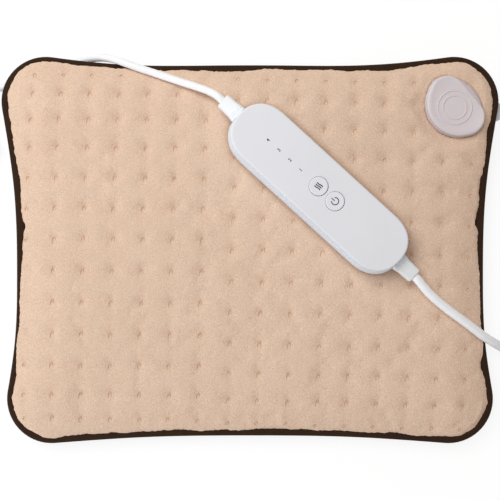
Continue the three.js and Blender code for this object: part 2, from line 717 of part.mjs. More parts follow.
function socketBase() {
  const [low, high] = [SOCKET_BASE_FLOOR, SOCKET_BASE_FLOOR + SOCKET_BASE_HEIGHT];
  let base = prism(socketShape(SOCKET_BASE_PLAN, 1.2), low, high);
  const mouthHeight = PAD_PLUG_TONGUE_HEIGHT + 2 * GAP;
  const length = 60;
  const mouth = box(MOUTH_BACK + length / 2, 0, PLUG_AXIS - mouthHeight / 2, length, PAD_PLUG_WIDTH + 2 * GAP,
    mouthHeight);
  base = base.subtract(mouth);
  for (const boss of SOCKET_BOSSES) {
    const hole = rod(1.35, low - 1, high + 1, 12).add(rod(2.8, low - 1, low + 2.4, 14));
    base = base.subtract(hole.translate([boss.x, boss.y, 0]));
  }
  for (const lane of [-1, 0, 1]) {
    const hole = pinRod(SOCKET_PIN_DIAMETER / 2 + 0.25, MOUTH_BACK - 3.6, MOUTH_BACK + 1);
    base = base.subtract(hole.translate([0, lane * SOCKET_PIN_PITCH, PLUG_AXIS]));
  }
  return base.translate([SOCKET_X, SOCKET_Y, 0]);
}

// A round bar along X.
function pinRod(radius, from, to, segments = 12) {
  return rod(radius, from, to, segments).rotate([0, 90, 0]);
}

function socketPin(lane) {
  const pin = pinRod(SOCKET_PIN_DIAMETER / 2, MOUTH_BACK - 3.3, MOUTH_BACK + 9);
  return pin.translate([SOCKET_X, SOCKET_Y + lane * SOCKET_PIN_PITCH, PLUG_AXIS]);
}

function socketScrew(boss) {
  const low = SOCKET_BASE_FLOOR;
  const tip = SOCKET_SEAT + SOCKET_COVER_HEIGHT - 4;
  const head = [[0, low + 0.2], [2.2, low + 0.2], [2.5, low + 0.6], [2.5, low + 2.1]];
  const screw = turned([...head, [1.05, low + 2.1], [1.05, tip - 1], [0, tip]], 10);
  return screw.translate([SOCKET_X + boss.x, SOCKET_Y + boss.y, 0]);
}

// Pad plug, along X, into the socket's mouth
const PLUG_FACE = SOCKET_MOUTH + 1.2 + GAP;
const GRIP_AXIS = PAD_PLUG_GRIP_HEIGHT / 2 + 0.3;

function padPlugBody() {
  const tongue = box(PLUG_FACE + 1 - PAD_PLUG_TONGUE / 2, 0, PLUG_AXIS - PAD_PLUG_TONGUE_HEIGHT / 2,
    PAD_PLUG_TONGUE + 2, PAD_PLUG_WIDTH, PAD_PLUG_TONGUE_HEIGHT);
  const section = (x, width, height, z) => roundedRect(width, height, height * 0.3).getPoints()
    .map((p) => v3(x, p.x, z + p.y));
  const end = PLUG_FACE + PAD_PLUG_GRIP;
  const h = PAD_PLUG_GRIP_HEIGHT;
  const grip = loft([
    section(PLUG_FACE, PAD_PLUG_WIDTH + 2, h, GRIP_AXIS),
    section(PLUG_FACE + PAD_PLUG_GRIP * 0.45, PAD_PLUG_WIDTH, h, GRIP_AXIS),
    section(end, PAD_PLUG_WIDTH * 0.62, h, GRIP_AXIS),
  ]);
  let body = grip.add(tongue);
  for (const lane of [-1, 0, 1]) {
    const hole = pinRod(SOCKET_PIN_DIAMETER / 2 + 0.25, MOUTH_BACK - 1, MOUTH_BACK + 10);
    body = body.subtract(hole.translate([0, lane * SOCKET_PIN_PITCH, PLUG_AXIS]));
  }
  return body.translate([SOCKET_X, SOCKET_Y, 0]);
}

// A ribbed, tapering sleeve from z = 0 to its length.
function sleeve(length, fromRadius, toRadius, ribs) {
  const profile = [[0, 0]];
  for (let i = 0; i < ribs; i += 1) {
    const t = i / ribs;
    const r = fromRadius + (toRadius - fromRadius) * t;
    const step = length / ribs;
    profile.push([r, i * step], [r, i * step + step * 0.62]);
    profile.push([r - 0.45, i * step + step * 0.66], [r - 0.45, (i + 1) * step - (i + 1 < ribs ? 0.2 : 0)]);
  }
  profile.push([0, length]);
  return turned(profile, 12);
}

function padPlugRelief() {
  const from = PLUG_FACE + PAD_PLUG_GRIP + GAP;
  const fit = PAD_PLUG_GRIP_HEIGHT / 2 - 0.1;
  const relief = sleeve(PAD_PLUG_RELIEF, fit, PAD_LEAD_DIAMETER / 2 + 0.1, 4).rotate([0, 90, 0]);
  return relief.translate([SOCKET_X + from, SOCKET_Y, GRIP_AXIS]);
}

// Controller outline, about its middle, long along X
function handsetOutline(inset) {
  const points = [];
  const steps = 12;
  const [halfLength, halfWidth] = [HANDSET_LENGTH / 2, HANDSET_WIDTH / 2];
  const straight = halfLength - HANDSET_CAP;
  const power = 2 / HANDSET_CAP_POWER;
  for (const side of [1, -1]) {
    for (let i = 0; i <= steps; i += 1) {
      const a = rad(-90 + (180 * i) / steps);
      const [c, s] = [Math.abs(Math.cos(a)) < 1e-9 ? 0 : Math.cos(a), Math.sin(a)];
      const x = straight + (HANDSET_CAP - inset) * c ** power;
      const y = (halfWidth - inset) * Math.sign(s) * Math.abs(s) ** power;
      points.push(v2(side * x, side * y));
    }
  }
  return points;
}

const handsetRing = (inset, z) => handsetOutline(inset).map((p) => v3(p.x, p.y, z));
const POST_X = HANDSET_LENGTH / 2 - POST_FROM_END;
const POSTS = [v2(POST_X, POST_Y), v2(-POST_X, POST_Y), v2(-POST_X, -POST_Y), v2(POST_X, -POST_Y)];
const BUTTONS = [v2(BUTTON_HEAT_X, 0), v2(BUTTON_HEAT_X + BUTTON_SPACING, 0)];
const LID = HANDSET_HEIGHT - WALL;
const draftAt = (z) => (HANDSET_DRAFT * Math.max(z - HANDSET_FOOT, 0)) / (HANDSET_HEIGHT - HANDSET_FOOT);

// The room in both end walls for a strain relief's neck.
function neckWay() {
  const side = GROMMET_NECK + 2 * GAP;
  const way = prism(roundedRect(side, side, 2), -HANDSET_LENGTH, HANDSET_LENGTH);
  return way.rotate([0, 90, 0]).translate([0, 0, LEAD_AXIS_HEIGHT]);
}

function upperShell() {
  const low = HANDSET_PARTING + GAP / 2;
  const top = HANDSET_HEIGHT;
  const outer = loft([
    handsetRing(draftAt(low), low),
    handsetRing(draftAt(top) - 0.4, top - 1.6),
    handsetRing(draftAt(top) - 0.1, top - 0.5),
    handsetRing(draftAt(top) + 0.4, top - 0.12),
    handsetRing(draftAt(top) + 1, top),
  ]);
  const inner = loft([handsetRing(draftAt(low) + WALL, low - 1), handsetRing(draftAt(LID) + WALL, LID)]);
  let shell = outer.subtract(inner).subtract(neckWay());
  for (const post of POSTS) {
    const pilot = rod(CASE_SCREW_DIAMETER / 2 + GAP, low - 1, LID - 1);
    const boss = rod(POST_RADIUS, low, LID + 0.5).subtract(pilot);
    shell = shell.add(boss.translate([post.x, post.y, 0]));
  }
  for (const place of BUTTONS) {
    const hole = rod(BUTTON_DIAMETER / 2 + BUTTON_CLEARANCE, LID - 1, top + 1, 28);
    shell = shell.subtract(hole.translate([place.x, place.y, 0]));
  }
  return shell;
}

function lowerShell() {
  const high = HANDSET_PARTING - GAP / 2;
  const outer = loft([
    handsetRing(HANDSET_FOOT, 0),
    handsetRing(HANDSET_FOOT * 0.3, HANDSET_FOOT * 0.3),
    handsetRing(0, HANDSET_FOOT),
    handsetRing(draftAt(high), high),
  ]);
  const inner = loft([
    handsetRing(WALL + 1.5, WALL),
    handsetRing(WALL + 0.2, HANDSET_FOOT + 1),
    handsetRing(draftAt(high) + WALL, high + 1),
  ]);
  let shell = outer.subtract(inner).subtract(neckWay());
  for (const post of POSTS) {
    const boss = rod(POST_RADIUS, WALL - 0.5, high).translate([post.x, post.y, 0]);
    const bore = rod(CASE_SCREW_DIAMETER / 2 + GAP, -1, high + 1, 12).add(rod(2.6, -1, 2.6, 14));
    shell = shell.add(boss).subtract(bore.translate([post.x, post.y, 0]));
  }
  for (const sx of [-1, 1]) {
    for (const sy of [-1, 1]) {
      const ledge = rod(2, WALL - 0.5, BOARD_HEIGHT - GAP, 12);
      shell = shell.add(ledge.translate([sx * POST_X * 0.72, sy * POST_Y * 0.75, 0]));
    }
  }
  return shell;
}

function caseScrew(post) {
  const r = CASE_SCREW_DIAMETER / 2;
  const tip = LID - 2;
  const head = [[0, 0.5], [2, 0.5], [2.25, 0.9], [2.25, 2.3], [r, 2.3]];
  return turned([...head, [r, tip - 1.4], [0, tip]], 10).translate([post.x, post.y, 0]);
}

const BOARD_LENGTH = HANDSET_LENGTH - 2 * BOARD_FROM_END;
const BOARD_TOP = BOARD_HEIGHT + BOARD_THICKNESS;
const PART_FLOOR = BOARD_TOP + GAP;
const PLUNGER_TOP = PART_FLOOR + SWITCH_HEIGHT + BUTTON_TRAVEL + 0.4;

function circuitBoard() {
  let board = prism(roundedRect(BOARD_LENGTH, BOARD_WIDTH, 2), BOARD_HEIGHT, BOARD_TOP);
  for (const post of POSTS) {
    board = board.subtract(rod(POST_RADIUS + 0.6, 0, HANDSET_HEIGHT).translate([post.x, post.y, 0]));
  }
  return board;
}

// A button with a rounded crown, a flange under the lid and a stem down to its switch.
function button(place) {
  const r = BUTTON_DIAMETER / 2;
  const top = HANDSET_HEIGHT + BUTTON_PROUD;
  const shelf = LID - GAP;
  const profile = [
    [0, PLUNGER_TOP + GAP], [2.2, PLUNGER_TOP + GAP], [2.2, shelf - 1.4], [r + BUTTON_FLANGE, shelf - 1.4],
    [r + BUTTON_FLANGE, shelf], [r, shelf], [r, top - 0.6], [r - 0.2, top - 0.2], [r - 0.7, top],
    [0, top - 0.15],
  ];
  return turned(profile, 28).translate([place.x, place.y, 0]);
}

function tactSwitch(place) {
  const body = box(0, 0, PART_FLOOR, SWITCH_SIZE, SWITCH_SIZE, SWITCH_HEIGHT);
  const well = rod(1.9, PART_FLOOR + SWITCH_HEIGHT - 2.4, PART_FLOOR + SWITCH_HEIGHT + 1, 16);
  return body.subtract(well).translate([place.x, place.y, 0]);
}

function plunger(place) {
  const low = PLUNGER_TOP - BUTTON_TRAVEL - 0.4 - 2.4 + BUTTON_TRAVEL + 0.3;
  return rod(1.5, low, PLUNGER_TOP, 16).translate([place.x, place.y, 0]);
}

const LAMP_FIRST_X = LAMP_FROM_END - HANDSET_LENGTH / 2;
const lampAt = (i) => v2(LAMP_FIRST_X + LAMP_SPACING * i, 0);
const LAMP_TOP = PART_FLOOR + 3.4;

function levelLamp(i) {
  const dome = [[1.5, LAMP_TOP - 1.1], [1, LAMP_TOP - 0.3], [0, LAMP_TOP]];
  const profile = [[0, PART_FLOOR], [1.5, PART_FLOOR], ...dome];
  const { x, y } = lampAt(i);
  return turned(profile, 12).translate([x, y, 0]);
}

// One clear moulding with a peg over each lamp and two legs on the board.
function lightGuide() {
  const span = LAMP_SPACING * (LAMP_COUNT - 1);
  const middle = LAMP_FIRST_X + span / 2;
  const bar = LID - 4.5;
  let guide = box(middle, 0, bar, span + 4, 4, 1.6);
  for (let i = 0; i < LAMP_COUNT; i += 1) {
    guide = guide.add(rod(1.5, LAMP_TOP + GAP, LID - GAP, 12).translate([lampAt(i).x, 0, 0]));
  }
  for (const i of [0.5, LAMP_COUNT - 1.5]) {
    const x = LAMP_FIRST_X + LAMP_SPACING * i;
    guide = guide.add(box(x, 0, PART_FLOOR, 2, 4, bar + 1 - PART_FLOOR));
  }
  return guide;
}

function triac() {
  const tab = box(34, 9, PART_FLOOR, 10.2, 1.4, 12);
  return tab.add(box(34, 7.2, PART_FLOOR, 10.2, 3.2, 8.4)).subtract(rod(1.8, -3, 3, 14).rotate([90, 0, 0])
    .translate([34, 9, PART_FLOOR + 10]));
}

function fuse() {
  const link = pinRod(2.3, 26, 46, 14);
  const caps = pinRod(2.7, 26, 30.5, 14).add(pinRod(2.7, 41.5, 46, 14));
  return link.add(caps).translate([0, -10.5, PART_FLOOR + 2.7]);
}

function filmCapacitor() {
  return prism(roundedRect(7.5, 17, 1.2), PART_FLOOR, PART_FLOOR + 10.5).translate([49, 3, 0]);
}

function reservoirCapacitor() {
  const high = PART_FLOOR + 9.5;
  const profile = [[0, PART_FLOOR], [4, PART_FLOOR], [4, high - 0.5], [3.6, high], [0, high]];
  return turned(profile, 18).translate([-8, -11.5, 0]);
}

function microcontroller() {
  return prism(roundedRect(10, 7.6, 0.5), PART_FLOOR, PART_FLOOR + 2).translate([8, 11.5, 0]);
}

// A strain relief at the +X end: block, flange, neck through the wall and a stub inside.
const BODY_END = HANDSET_LENGTH / 2 - draftAt(LEAD_AXIS_HEIGHT - GROMMET_HEIGHT / 2 - 0.8);
const GROMMET_END = BODY_END + GAP + GROMMET_FLANGE + GROMMET_LENGTH;
const STUB_END = BODY_END - 17;

function grommet(leadDiameter) {
  const section = (x, width, height, radius) => roundedRect(width, height, radius).getPoints()
    .map((p) => v3(x, p.x, p.y));
  const flangeEnd = BODY_END + GAP + GROMMET_FLANGE;
  const block = loft([
    section(flangeEnd - 0.5, GROMMET_WIDTH + 0.6, GROMMET_HEIGHT, 2),
    section(GROMMET_END - 1, GROMMET_WIDTH - 0.6, GROMMET_HEIGHT - 0.6, 2),
    section(GROMMET_END, GROMMET_WIDTH - 2, GROMMET_HEIGHT - 2, 1.4),
  ]);
  const flange = loft([
    section(BODY_END + GAP, GROMMET_FLANGE_WIDTH, GROMMET_HEIGHT + 1.6, 2.4),
    section(flangeEnd, GROMMET_FLANGE_WIDTH - 0.6, GROMMET_HEIGHT + 1, 2.4),
  ]);
  const neck = loft([
    section(BODY_END - WALL - 3, GROMMET_NECK, GROMMET_NECK, 2),
    section(BODY_END + 1, GROMMET_NECK, GROMMET_NECK, 2),
  ]);
  const stub = pinRod(leadDiameter / 2, STUB_END, BODY_END, 12);
  return block.add(flange).add(neck).add(stub).translate([0, 0, LEAD_AXIS_HEIGHT]);
}

// A saddle over the stub of a lead, at the +X end.
function leadClamp(leadDiameter) {
  const x = STUB_END + 1;
  const high = LEAD_AXIS_HEIGHT + leadDiameter / 2 + GAP + 2.2;
  const bridge = box(x + 3, 0, WALL + GAP, 6, 20, high - WALL - GAP);
  const way = pinRod(leadDiameter / 2 + GAP, x - 1, x + 8, 16).translate([0, 0, LEAD_AXIS_HEIGHT]);
  const under = box(x + 3, 0, 0, 8, leadDiameter + 2 * GAP, LEAD_AXIS_HEIGHT);
  return bridge.subtract(way).subtract(under);
}

// Leads: routes chosen by hand, in the pad's frame
const HANDSET_FLOOR = CROWN_HEIGHT + GAP;
const LEAD_Z = HANDSET_FLOOR + LEAD_AXIS_HEIGHT;

function handsetEnd(side, beyond) {
  const reach = side * (GROMMET_END + beyond);
  const a = -rad(HANDSET_ANGLE);
  return v3(HANDSET_X + reach * Math.cos(a), HANDSET_Y + reach * Math.sin(a), LEAD_Z);
}

function padLead() {
  const plugEnd = SOCKET_X + PLUG_FACE + PAD_PLUG_GRIP + PAD_PLUG_RELIEF + 2 * GAP;
  const route = [
    handsetEnd(1, GAP), handsetEnd(1, 7), v3(144.5, -38.5, 31.2), v3(154, -47.5, 29.3),
    v3(164, -55.4, 27.7), v3(174.6, -62, 25.5), v3(184.2, -67.7, 22.6), v3(193.4, -73, 18.5),
    v3(202.5, -78.2, 12.6), v3(212, -83, 7.4), v3(222, -86.8, 4.5), v3(233, -88.6, 3.8),
    v3(244.5, -87.2, 3.7), v3(255.5, -80.8, 3.7), v3(263, -71, 3.7), v3(266, -58, 3.7), v3(266, -30, 3.7),
    v3(266, 0, 3.7), v3(266, 30, 3.7), v3(266, 62, 3.7), v3(265.4, 84, 3.7), v3(261, 97.5, 3.7),
    v3(253, 107, 3.8), v3(242, 111.4, 4), v3(plugEnd + 6, SOCKET_Y, GRIP_AXIS),
    v3(plugEnd, SOCKET_Y, GRIP_AXIS),
  ];
  return tube(route, PAD_LEAD_DIAMETER, 8, 34);
}

function mainsLead() {
  const route = [
    handsetEnd(-1, GAP), handsetEnd(-1, 6), v3(-34, 125.2, 31), v3(-43, 128.7, 28.8), v3(-52, 131.9, 26.6),
    v3(-66, 137, 23.9), v3(-77, 141, 22), v3(-87, 144.5, 20.7), v3(-97, 148.2, 19.7), v3(-106, 151.6, 17.9),
    v3(-115, 154.3, 14.6), v3(-124, 155.4, 10.2), v3(-133, 155, 6.2), v3(-142, 153, 3.9),
    v3(-152, 150.2, 3.2), v3(-164, 148, 3.2), v3(-172.8, 146.8, 3.2), v3(-179.2, 144.2, 3.2),
    v3(-184.6, 140.1, 3.2),
    v3(-193.1, 134.8, 3.2), v3(-203.1, 132.7, 3.2), v3(-215, 132.6, 3.4), v3(-230, 132.6, 3.9),
    v3(-244, 132.6, COIL_Z), v3(COIL_X + 6.6, 132.6, COIL_Z),
  ];
  return tube(route, MAINS_LEAD_DIAMETER, 8, 36);
}

// Coil: down the lower layer inwards, up a layer on the inmost half turn, back out on top.
const COIL_Z = MAINS_LEAD_DIAMETER / 2 + COIL_LIFT;
const COIL_INNER_RADIUS = COIL_OUTER_RADIUS - COIL_PITCH * COIL_LOWER_TURNS;

function coilPoint(turns) {
  const climb = COIL_LOWER_TURNS + 0.5;
  let radius = COIL_OUTER_RADIUS - COIL_PITCH * turns;
  let z = COIL_Z;
  if (turns > COIL_LOWER_TURNS) {
    radius = COIL_INNER_RADIUS + COIL_PITCH * Math.max(turns - climb, 0);
    z = COIL_Z + COIL_LAYER * Math.min((turns - COIL_LOWER_TURNS) / 0.5, 1);
  }
  const a = Math.PI / 2 + 2 * Math.PI * turns;
  return v3(COIL_X + radius * Math.cos(a), COIL_Y + radius * Math.sin(a), z);
}

const COIL_TURNS = COIL_LOWER_TURNS + 0.5 + COIL_UPPER_TURNS;
const COIL_EXIT = rad(90 + 360 * (COIL_TURNS % 1));
const COIL_HEADING = v3(-Math.sin(COIL_EXIT), Math.cos(COIL_EXIT), 0);

function coilPath() {
  const steps = Math.round(COIL_TURNS * COIL_STEPS);
  const points = [];
  for (let i = 0; i <= steps; i += 1) points.push(coilPoint((COIL_TURNS * i) / steps));
  const entry = points[0].clone().add(v3(MAINS_LEAD_DIAMETER, 0, 0));
  const exit = points.at(-1).clone().addScaledVector(COIL_HEADING, MAINS_LEAD_DIAMETER);
  return [entry, ...points, exit];
}

// The least space between parts of the coil that are not neighbours along it.
function coilSpace(points) {
  let least = Infinity;
  const apart = Math.round(COIL_STEPS / 2);
  const fine = [];
  for (let i = 0; i + 1 < points.length; i += 1) {
    for (let k = 0; k < 4; k += 1) fine.push(points[i].clone().lerp(points[i + 1], k / 4));
  }
  for (let i = 0; i < fine.length; i += 1) {
    for (let j = i + apart * 4; j < fine.length; j += 1) least = Math.min(least, fine[i].distanceTo(fine[j]));
  }
  return least - MAINS_LEAD_DIAMETER;
}

const COIL_POINTS = coilPath();
console.log(`least space in the coil ${coilSpace(COIL_POINTS).toFixed(2)} mm`);

// Mains plug, along +X from its cord end at the origin
const PLUG_AXIS_HEIGHT = PLUG_THICKNESS / 2 + 0.1;
const TAIL_START = COIL_POINTS.at(-1).clone().addScaledVector(COIL_HEADING, GAP);
const TAIL_REACH = 42;
const TAIL_END = TAIL_START.clone().addScaledVector(COIL_HEADING, TAIL_REACH).setZ(PLUG_AXIS_HEIGHT);

function mainsTail() {
  const drop = [[0, 0], [0.14, 0], [0.36, 0.3], [0.58, 0.76], [0.84, 1], [1, 1]];
  const route = drop.map(([t, fall]) => TAIL_START.clone().lerp(TAIL_END, t)
    .setZ(TAIL_START.z + (TAIL_END.z - TAIL_START.z) * fall));
  return tube(route, MAINS_LEAD_DIAMETER, 8, 5);
}

function plugBody() {
  const from = PLUG_RELIEF + 2 * GAP;
  const section = (x, width, height) => roundedRect(width, height, height * 0.32).getPoints()
    .map((p) => v3(from + x, p.x, p.y));
  let body = loft([
    section(0, 12, 10.5),
    section(PLUG_LENGTH * 0.3, 17, 12.4),
    section(PLUG_LENGTH * 0.62, PLUG_WIDTH - 1.5, PLUG_THICKNESS),
    section(PLUG_LENGTH - 1, PLUG_WIDTH, PLUG_THICKNESS),
    section(PLUG_LENGTH, PLUG_WIDTH - 1.4, PLUG_THICKNESS - 1.4),
  ]);
  for (const side of [-1, 1]) {
    const hole = pinRod(PLUG_PIN_DIAMETER / 2 + GAP, from + PLUG_LENGTH - 9, from + PLUG_LENGTH + 1, 14);
    body = body.subtract(hole.translate([0, (side * PLUG_PIN_PITCH) / 2, 0]));
  }
  return body;
}

function plugPin(side) {
  const root = PLUG_RELIEF + 2 * GAP + PLUG_LENGTH;
  const r = PLUG_PIN_DIAMETER / 2;
  const tip = root + PLUG_PIN_LENGTH;
  const profile = [[0, root - 8.7], [r, root - 8.7], [r, tip - 1.4], [r * 0.75, tip - 0.4], [0, tip]];
  return turned(profile, 14).rotate([0, 90, 0]).translate([0, (side * PLUG_PIN_PITCH) / 2, 0]);
}

function plugRelief() {
  return sleeve(PLUG_RELIEF, MAINS_LEAD_DIAMETER / 2 + 0.6, 5, 4).translate([0, 0, GAP]).rotate([0, 90, 0]);
}

// A strap round both layers of the coil, on the side next to the pad.
function cableTie() {
  const lead = MAINS_LEAD_DIAMETER / 2;
  const [near, far] = [COIL_INNER_RADIUS - lead - 1, COIL_OUTER_RADIUS + lead + 1];
  const [low, high] = [TIE_THICKNESS + 0.15, COIL_Z + COIL_LAYER + lead + GAP];
  const t = TIE_THICKNESS;
  const outer = roundedRect(far - near + 2 * t, high - low + 2 * t, 3);
  outer.holes.push(roundedRect(far - near, high - low, 2.4));
  const strap = prism(outer, -TIE_WIDTH / 2, TIE_WIDTH / 2).rotate([90, 0, 0]);
  return strap.translate([COIL_X + (near + far) / 2, COIL_Y, (low + high) / 2]);
}

// Assembly
const product = sub('heating_pad');

const pad = sub('pad');
pad.add(named('front_cover', frontCover(), FLEECE));
pad.add(named('back_cover', backCover(), BACKING));
pad.add(named('edge_binding', edgeBinding(), BINDING));
pad.add(named('heater_carrier', heaterCarrier(), CARRIER));
pad.add(named('heating_wire', heatingWire(), HEAT_WIRE));
CUTOUT_PLACES.forEach((place, i) => {
  pad.add(named(`thermal_cutout_${i + 1}`, elementPiece(place, CUTOUT_HEIGHT, CUTOUT_WIDTH / 2.01), DARK));
});
pad.add(named('temperature_sensor', elementPiece(SENSOR_PLACE, SENSOR_HEIGHT, 0.8), CLEAR));
const ends = wireEnds();
pad.add(named('supply_wire_1', socketWire(1, ends.supply), CORD));
pad.add(named('supply_wire_2', socketWire(-1, ends.back), CORD));
pad.add(named('sensor_wire', socketWire(0, ends.sensor), CORD));
product.add(pad);

const socket = sub('socket');
socket.add(named('socket_cover', socketCoverPlaced(), SOCKET_SHELL));
socket.add(named('socket_base', socketBase(), SOCKET_SHELL));
[-1, 0, 1].forEach((lane, i) => socket.add(named(`socket_pin_${i + 1}`, socketPin(lane), BRASS)));
SOCKET_BOSSES.forEach((boss, i) => socket.add(named(`socket_screw_${i + 1}`, socketScrew(boss), STEEL)));
product.add(socket);

const padCord = sub('pad_cord');
padCord.add(named('pad_lead', padLead(), CORD));
padCord.add(named('pad_plug_body', padPlugBody(), SOCKET_SHELL));
padCord.add(named('pad_plug_relief', padPlugRelief(), GROMMET));
product.add(padCord);

const handset = sub('controller');
handset.add(named('upper_shell', upperShell(), WHITE_SHELL));
handset.add(named('lower_shell', lowerShell(), WHITE_SHELL));
['heat', 'power'].forEach((use, i) => {
  handset.add(named(`${use}_button`, button(BUTTONS[i]), WHITE_BUTTON));
  handset.add(named(`${use}_switch`, tactSwitch(BUTTONS[i]), DARK));
  handset.add(named(`${use}_plunger`, plunger(BUTTONS[i]), DARK));
});
handset.add(named('circuit_board', circuitBoard(), BOARD));
for (let i = 0; i < LAMP_COUNT; i += 1) handset.add(named(`level_lamp_${i + 1}`, levelLamp(i), AMBER));
handset.add(named('light_guide', lightGuide(), CLEAR));
handset.add(named('triac', triac(), DARK));
handset.add(named('fuse', fuse(), CLEAR));
handset.add(named('film_capacitor', filmCapacitor(), AMBER));
handset.add(named('reservoir_capacitor', reservoirCapacitor(), DARK));
handset.add(named('microcontroller', microcontroller(), DARK));
handset.add(named('pad_lead_grommet', grommet(PAD_LEAD_DIAMETER), GROMMET));
handset.add(named('mains_lead_grommet', turnZ(grommet(MAINS_LEAD_DIAMETER), 180), GROMMET));
handset.add(named('pad_lead_clamp', leadClamp(PAD_LEAD_DIAMETER), WHITE_SHELL));
handset.add(named('mains_lead_clamp', turnZ(leadClamp(MAINS_LEAD_DIAMETER), 180), WHITE_SHELL));
POSTS.forEach((post, i) => handset.add(named(`case_screw_${i + 1}`, caseScrew(post), STEEL)));
handset.position.set(HANDSET_X, HANDSET_Y, HANDSET_FLOOR);
handset.rotation.z = -rad(HANDSET_ANGLE);
product.add(handset);

const mainsCord = sub('mains_cord');
mainsCord.add(named('mains_lead', mainsLead(), CORD));
mainsCord.add(named('mains_lead_coil', woundTube(COIL_POINTS, MAINS_LEAD_DIAMETER, COIL_SIDES), CORD));
mainsCord.add(named('mains_lead_tail', mainsTail(), CORD));
mainsCord.add(named('cable_tie', cableTie(), STRAP));
product.add(mainsCord);

const mainsPlug = sub('mains_plug');
mainsPlug.add(named('plug_body', plugBody(), CORD));
mainsPlug.add(named('plug_pin_1', plugPin(-1), STEEL));
mainsPlug.add(named('plug_pin_2', plugPin(1), STEEL));
mainsPlug.add(named('plug_relief', plugRelief(), CORD));
mainsPlug.position.copy(TAIL_END);
mainsPlug.rotation.z = Math.atan2(COIL_HEADING.y, COIL_HEADING.x);
product.add(mainsPlug);

export default product;
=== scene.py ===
"""A heating pad with its controller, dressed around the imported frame.

The pad lies flat with its quilted front up. The controller rests on it, one lead runs off
over the top edge to a tied coil and a mains plug, and the other runs off over the right side
and back under the pad to its socket. Lengths are metres and +Z is up.
"""

from __future__ import annotations

import json
import logging
import math
from dataclasses import dataclass, field
from enum import Enum
from functools import cached_property
from typing import Iterable, Sequence

import bmesh
import bpy
import numpy as np
from mathutils import Matrix, Vector, noise
from mathutils.bvhtree import BVHTree

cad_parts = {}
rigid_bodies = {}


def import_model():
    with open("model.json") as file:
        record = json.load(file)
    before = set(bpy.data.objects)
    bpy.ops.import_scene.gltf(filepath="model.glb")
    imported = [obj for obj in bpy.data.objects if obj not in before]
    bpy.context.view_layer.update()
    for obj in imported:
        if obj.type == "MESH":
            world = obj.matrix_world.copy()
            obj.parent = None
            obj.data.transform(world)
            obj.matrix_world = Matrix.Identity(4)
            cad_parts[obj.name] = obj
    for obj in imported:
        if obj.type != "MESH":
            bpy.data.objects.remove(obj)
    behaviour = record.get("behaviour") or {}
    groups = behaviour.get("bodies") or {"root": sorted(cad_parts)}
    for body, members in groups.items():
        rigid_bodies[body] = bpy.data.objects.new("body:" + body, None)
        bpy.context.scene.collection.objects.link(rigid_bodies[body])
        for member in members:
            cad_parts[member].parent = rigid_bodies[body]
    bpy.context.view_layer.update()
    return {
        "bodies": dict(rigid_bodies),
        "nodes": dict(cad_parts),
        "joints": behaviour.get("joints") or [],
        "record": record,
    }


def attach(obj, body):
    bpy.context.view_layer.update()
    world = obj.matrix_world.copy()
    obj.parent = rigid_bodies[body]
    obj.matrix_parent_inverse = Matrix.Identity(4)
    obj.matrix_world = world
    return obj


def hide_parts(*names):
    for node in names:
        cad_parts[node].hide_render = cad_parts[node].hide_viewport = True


MM = 0.001
SEAM_HEIGHT = 12.5 * MM
GAP = 0.3 * MM
WALL = 2 * MM
LOG = logging.getLogger("heating_pad")

Ring = list[Vector]
Colour = tuple[float, float, float]
BMesh = bmesh.types.BMesh
Vert = bmesh.types.BMVert
Node = bpy.types.Node
Piece = bpy.types.Object


class Body(Enum):
    """The frame's moving bodies."""

    PAD = "heating_pad"
    HEAT_KEY = "heat_button"
    POWER_KEY = "power_button"


class Slot(Enum):
    """Names of the record's material slots. No piece in this script is given one."""

    FLEECE = "fleece"
    BACKING = "backing"
    BINDING = "binding"
    CARRIER = "carrier_cloth"
    SOCKET = "socket_shell"
    CORD = "cord_sheath"
    RELIEF = "relief_rubber"
    SHELL = "controller_shell"
    BUTTON = "button"
    TIE = "tie_strap"
    CHROME = "pin_chrome"


def linear(*levels: int) -> Colour:
    """Turns a display colour into the linear colour that a shader takes.

    Args:
        *levels: Red, green and blue, 0 to 255.

    Returns:
        The same colour in linear light.
    """
    shares = [level / 255 for level in levels]
    return tuple(v / 12.92 if v <= 0.04045 else ((v + 0.055) / 1.055) ** 2.4 for v in shares)


def smoothstep(low: float, high: float, value: np.ndarray | float) -> np.ndarray | float:
    """A soft step from 0 at low to 1 at high.

    Args:
        low: Where the step starts.
        high: Where the step ends.
        value: One value or an array of them.

    Returns:
        The step's height, in the same form as value.
    """
    t = np.clip((value - low) / (high - low), 0, 1)
    return t * t * (3 - 2 * t)


# Finishes


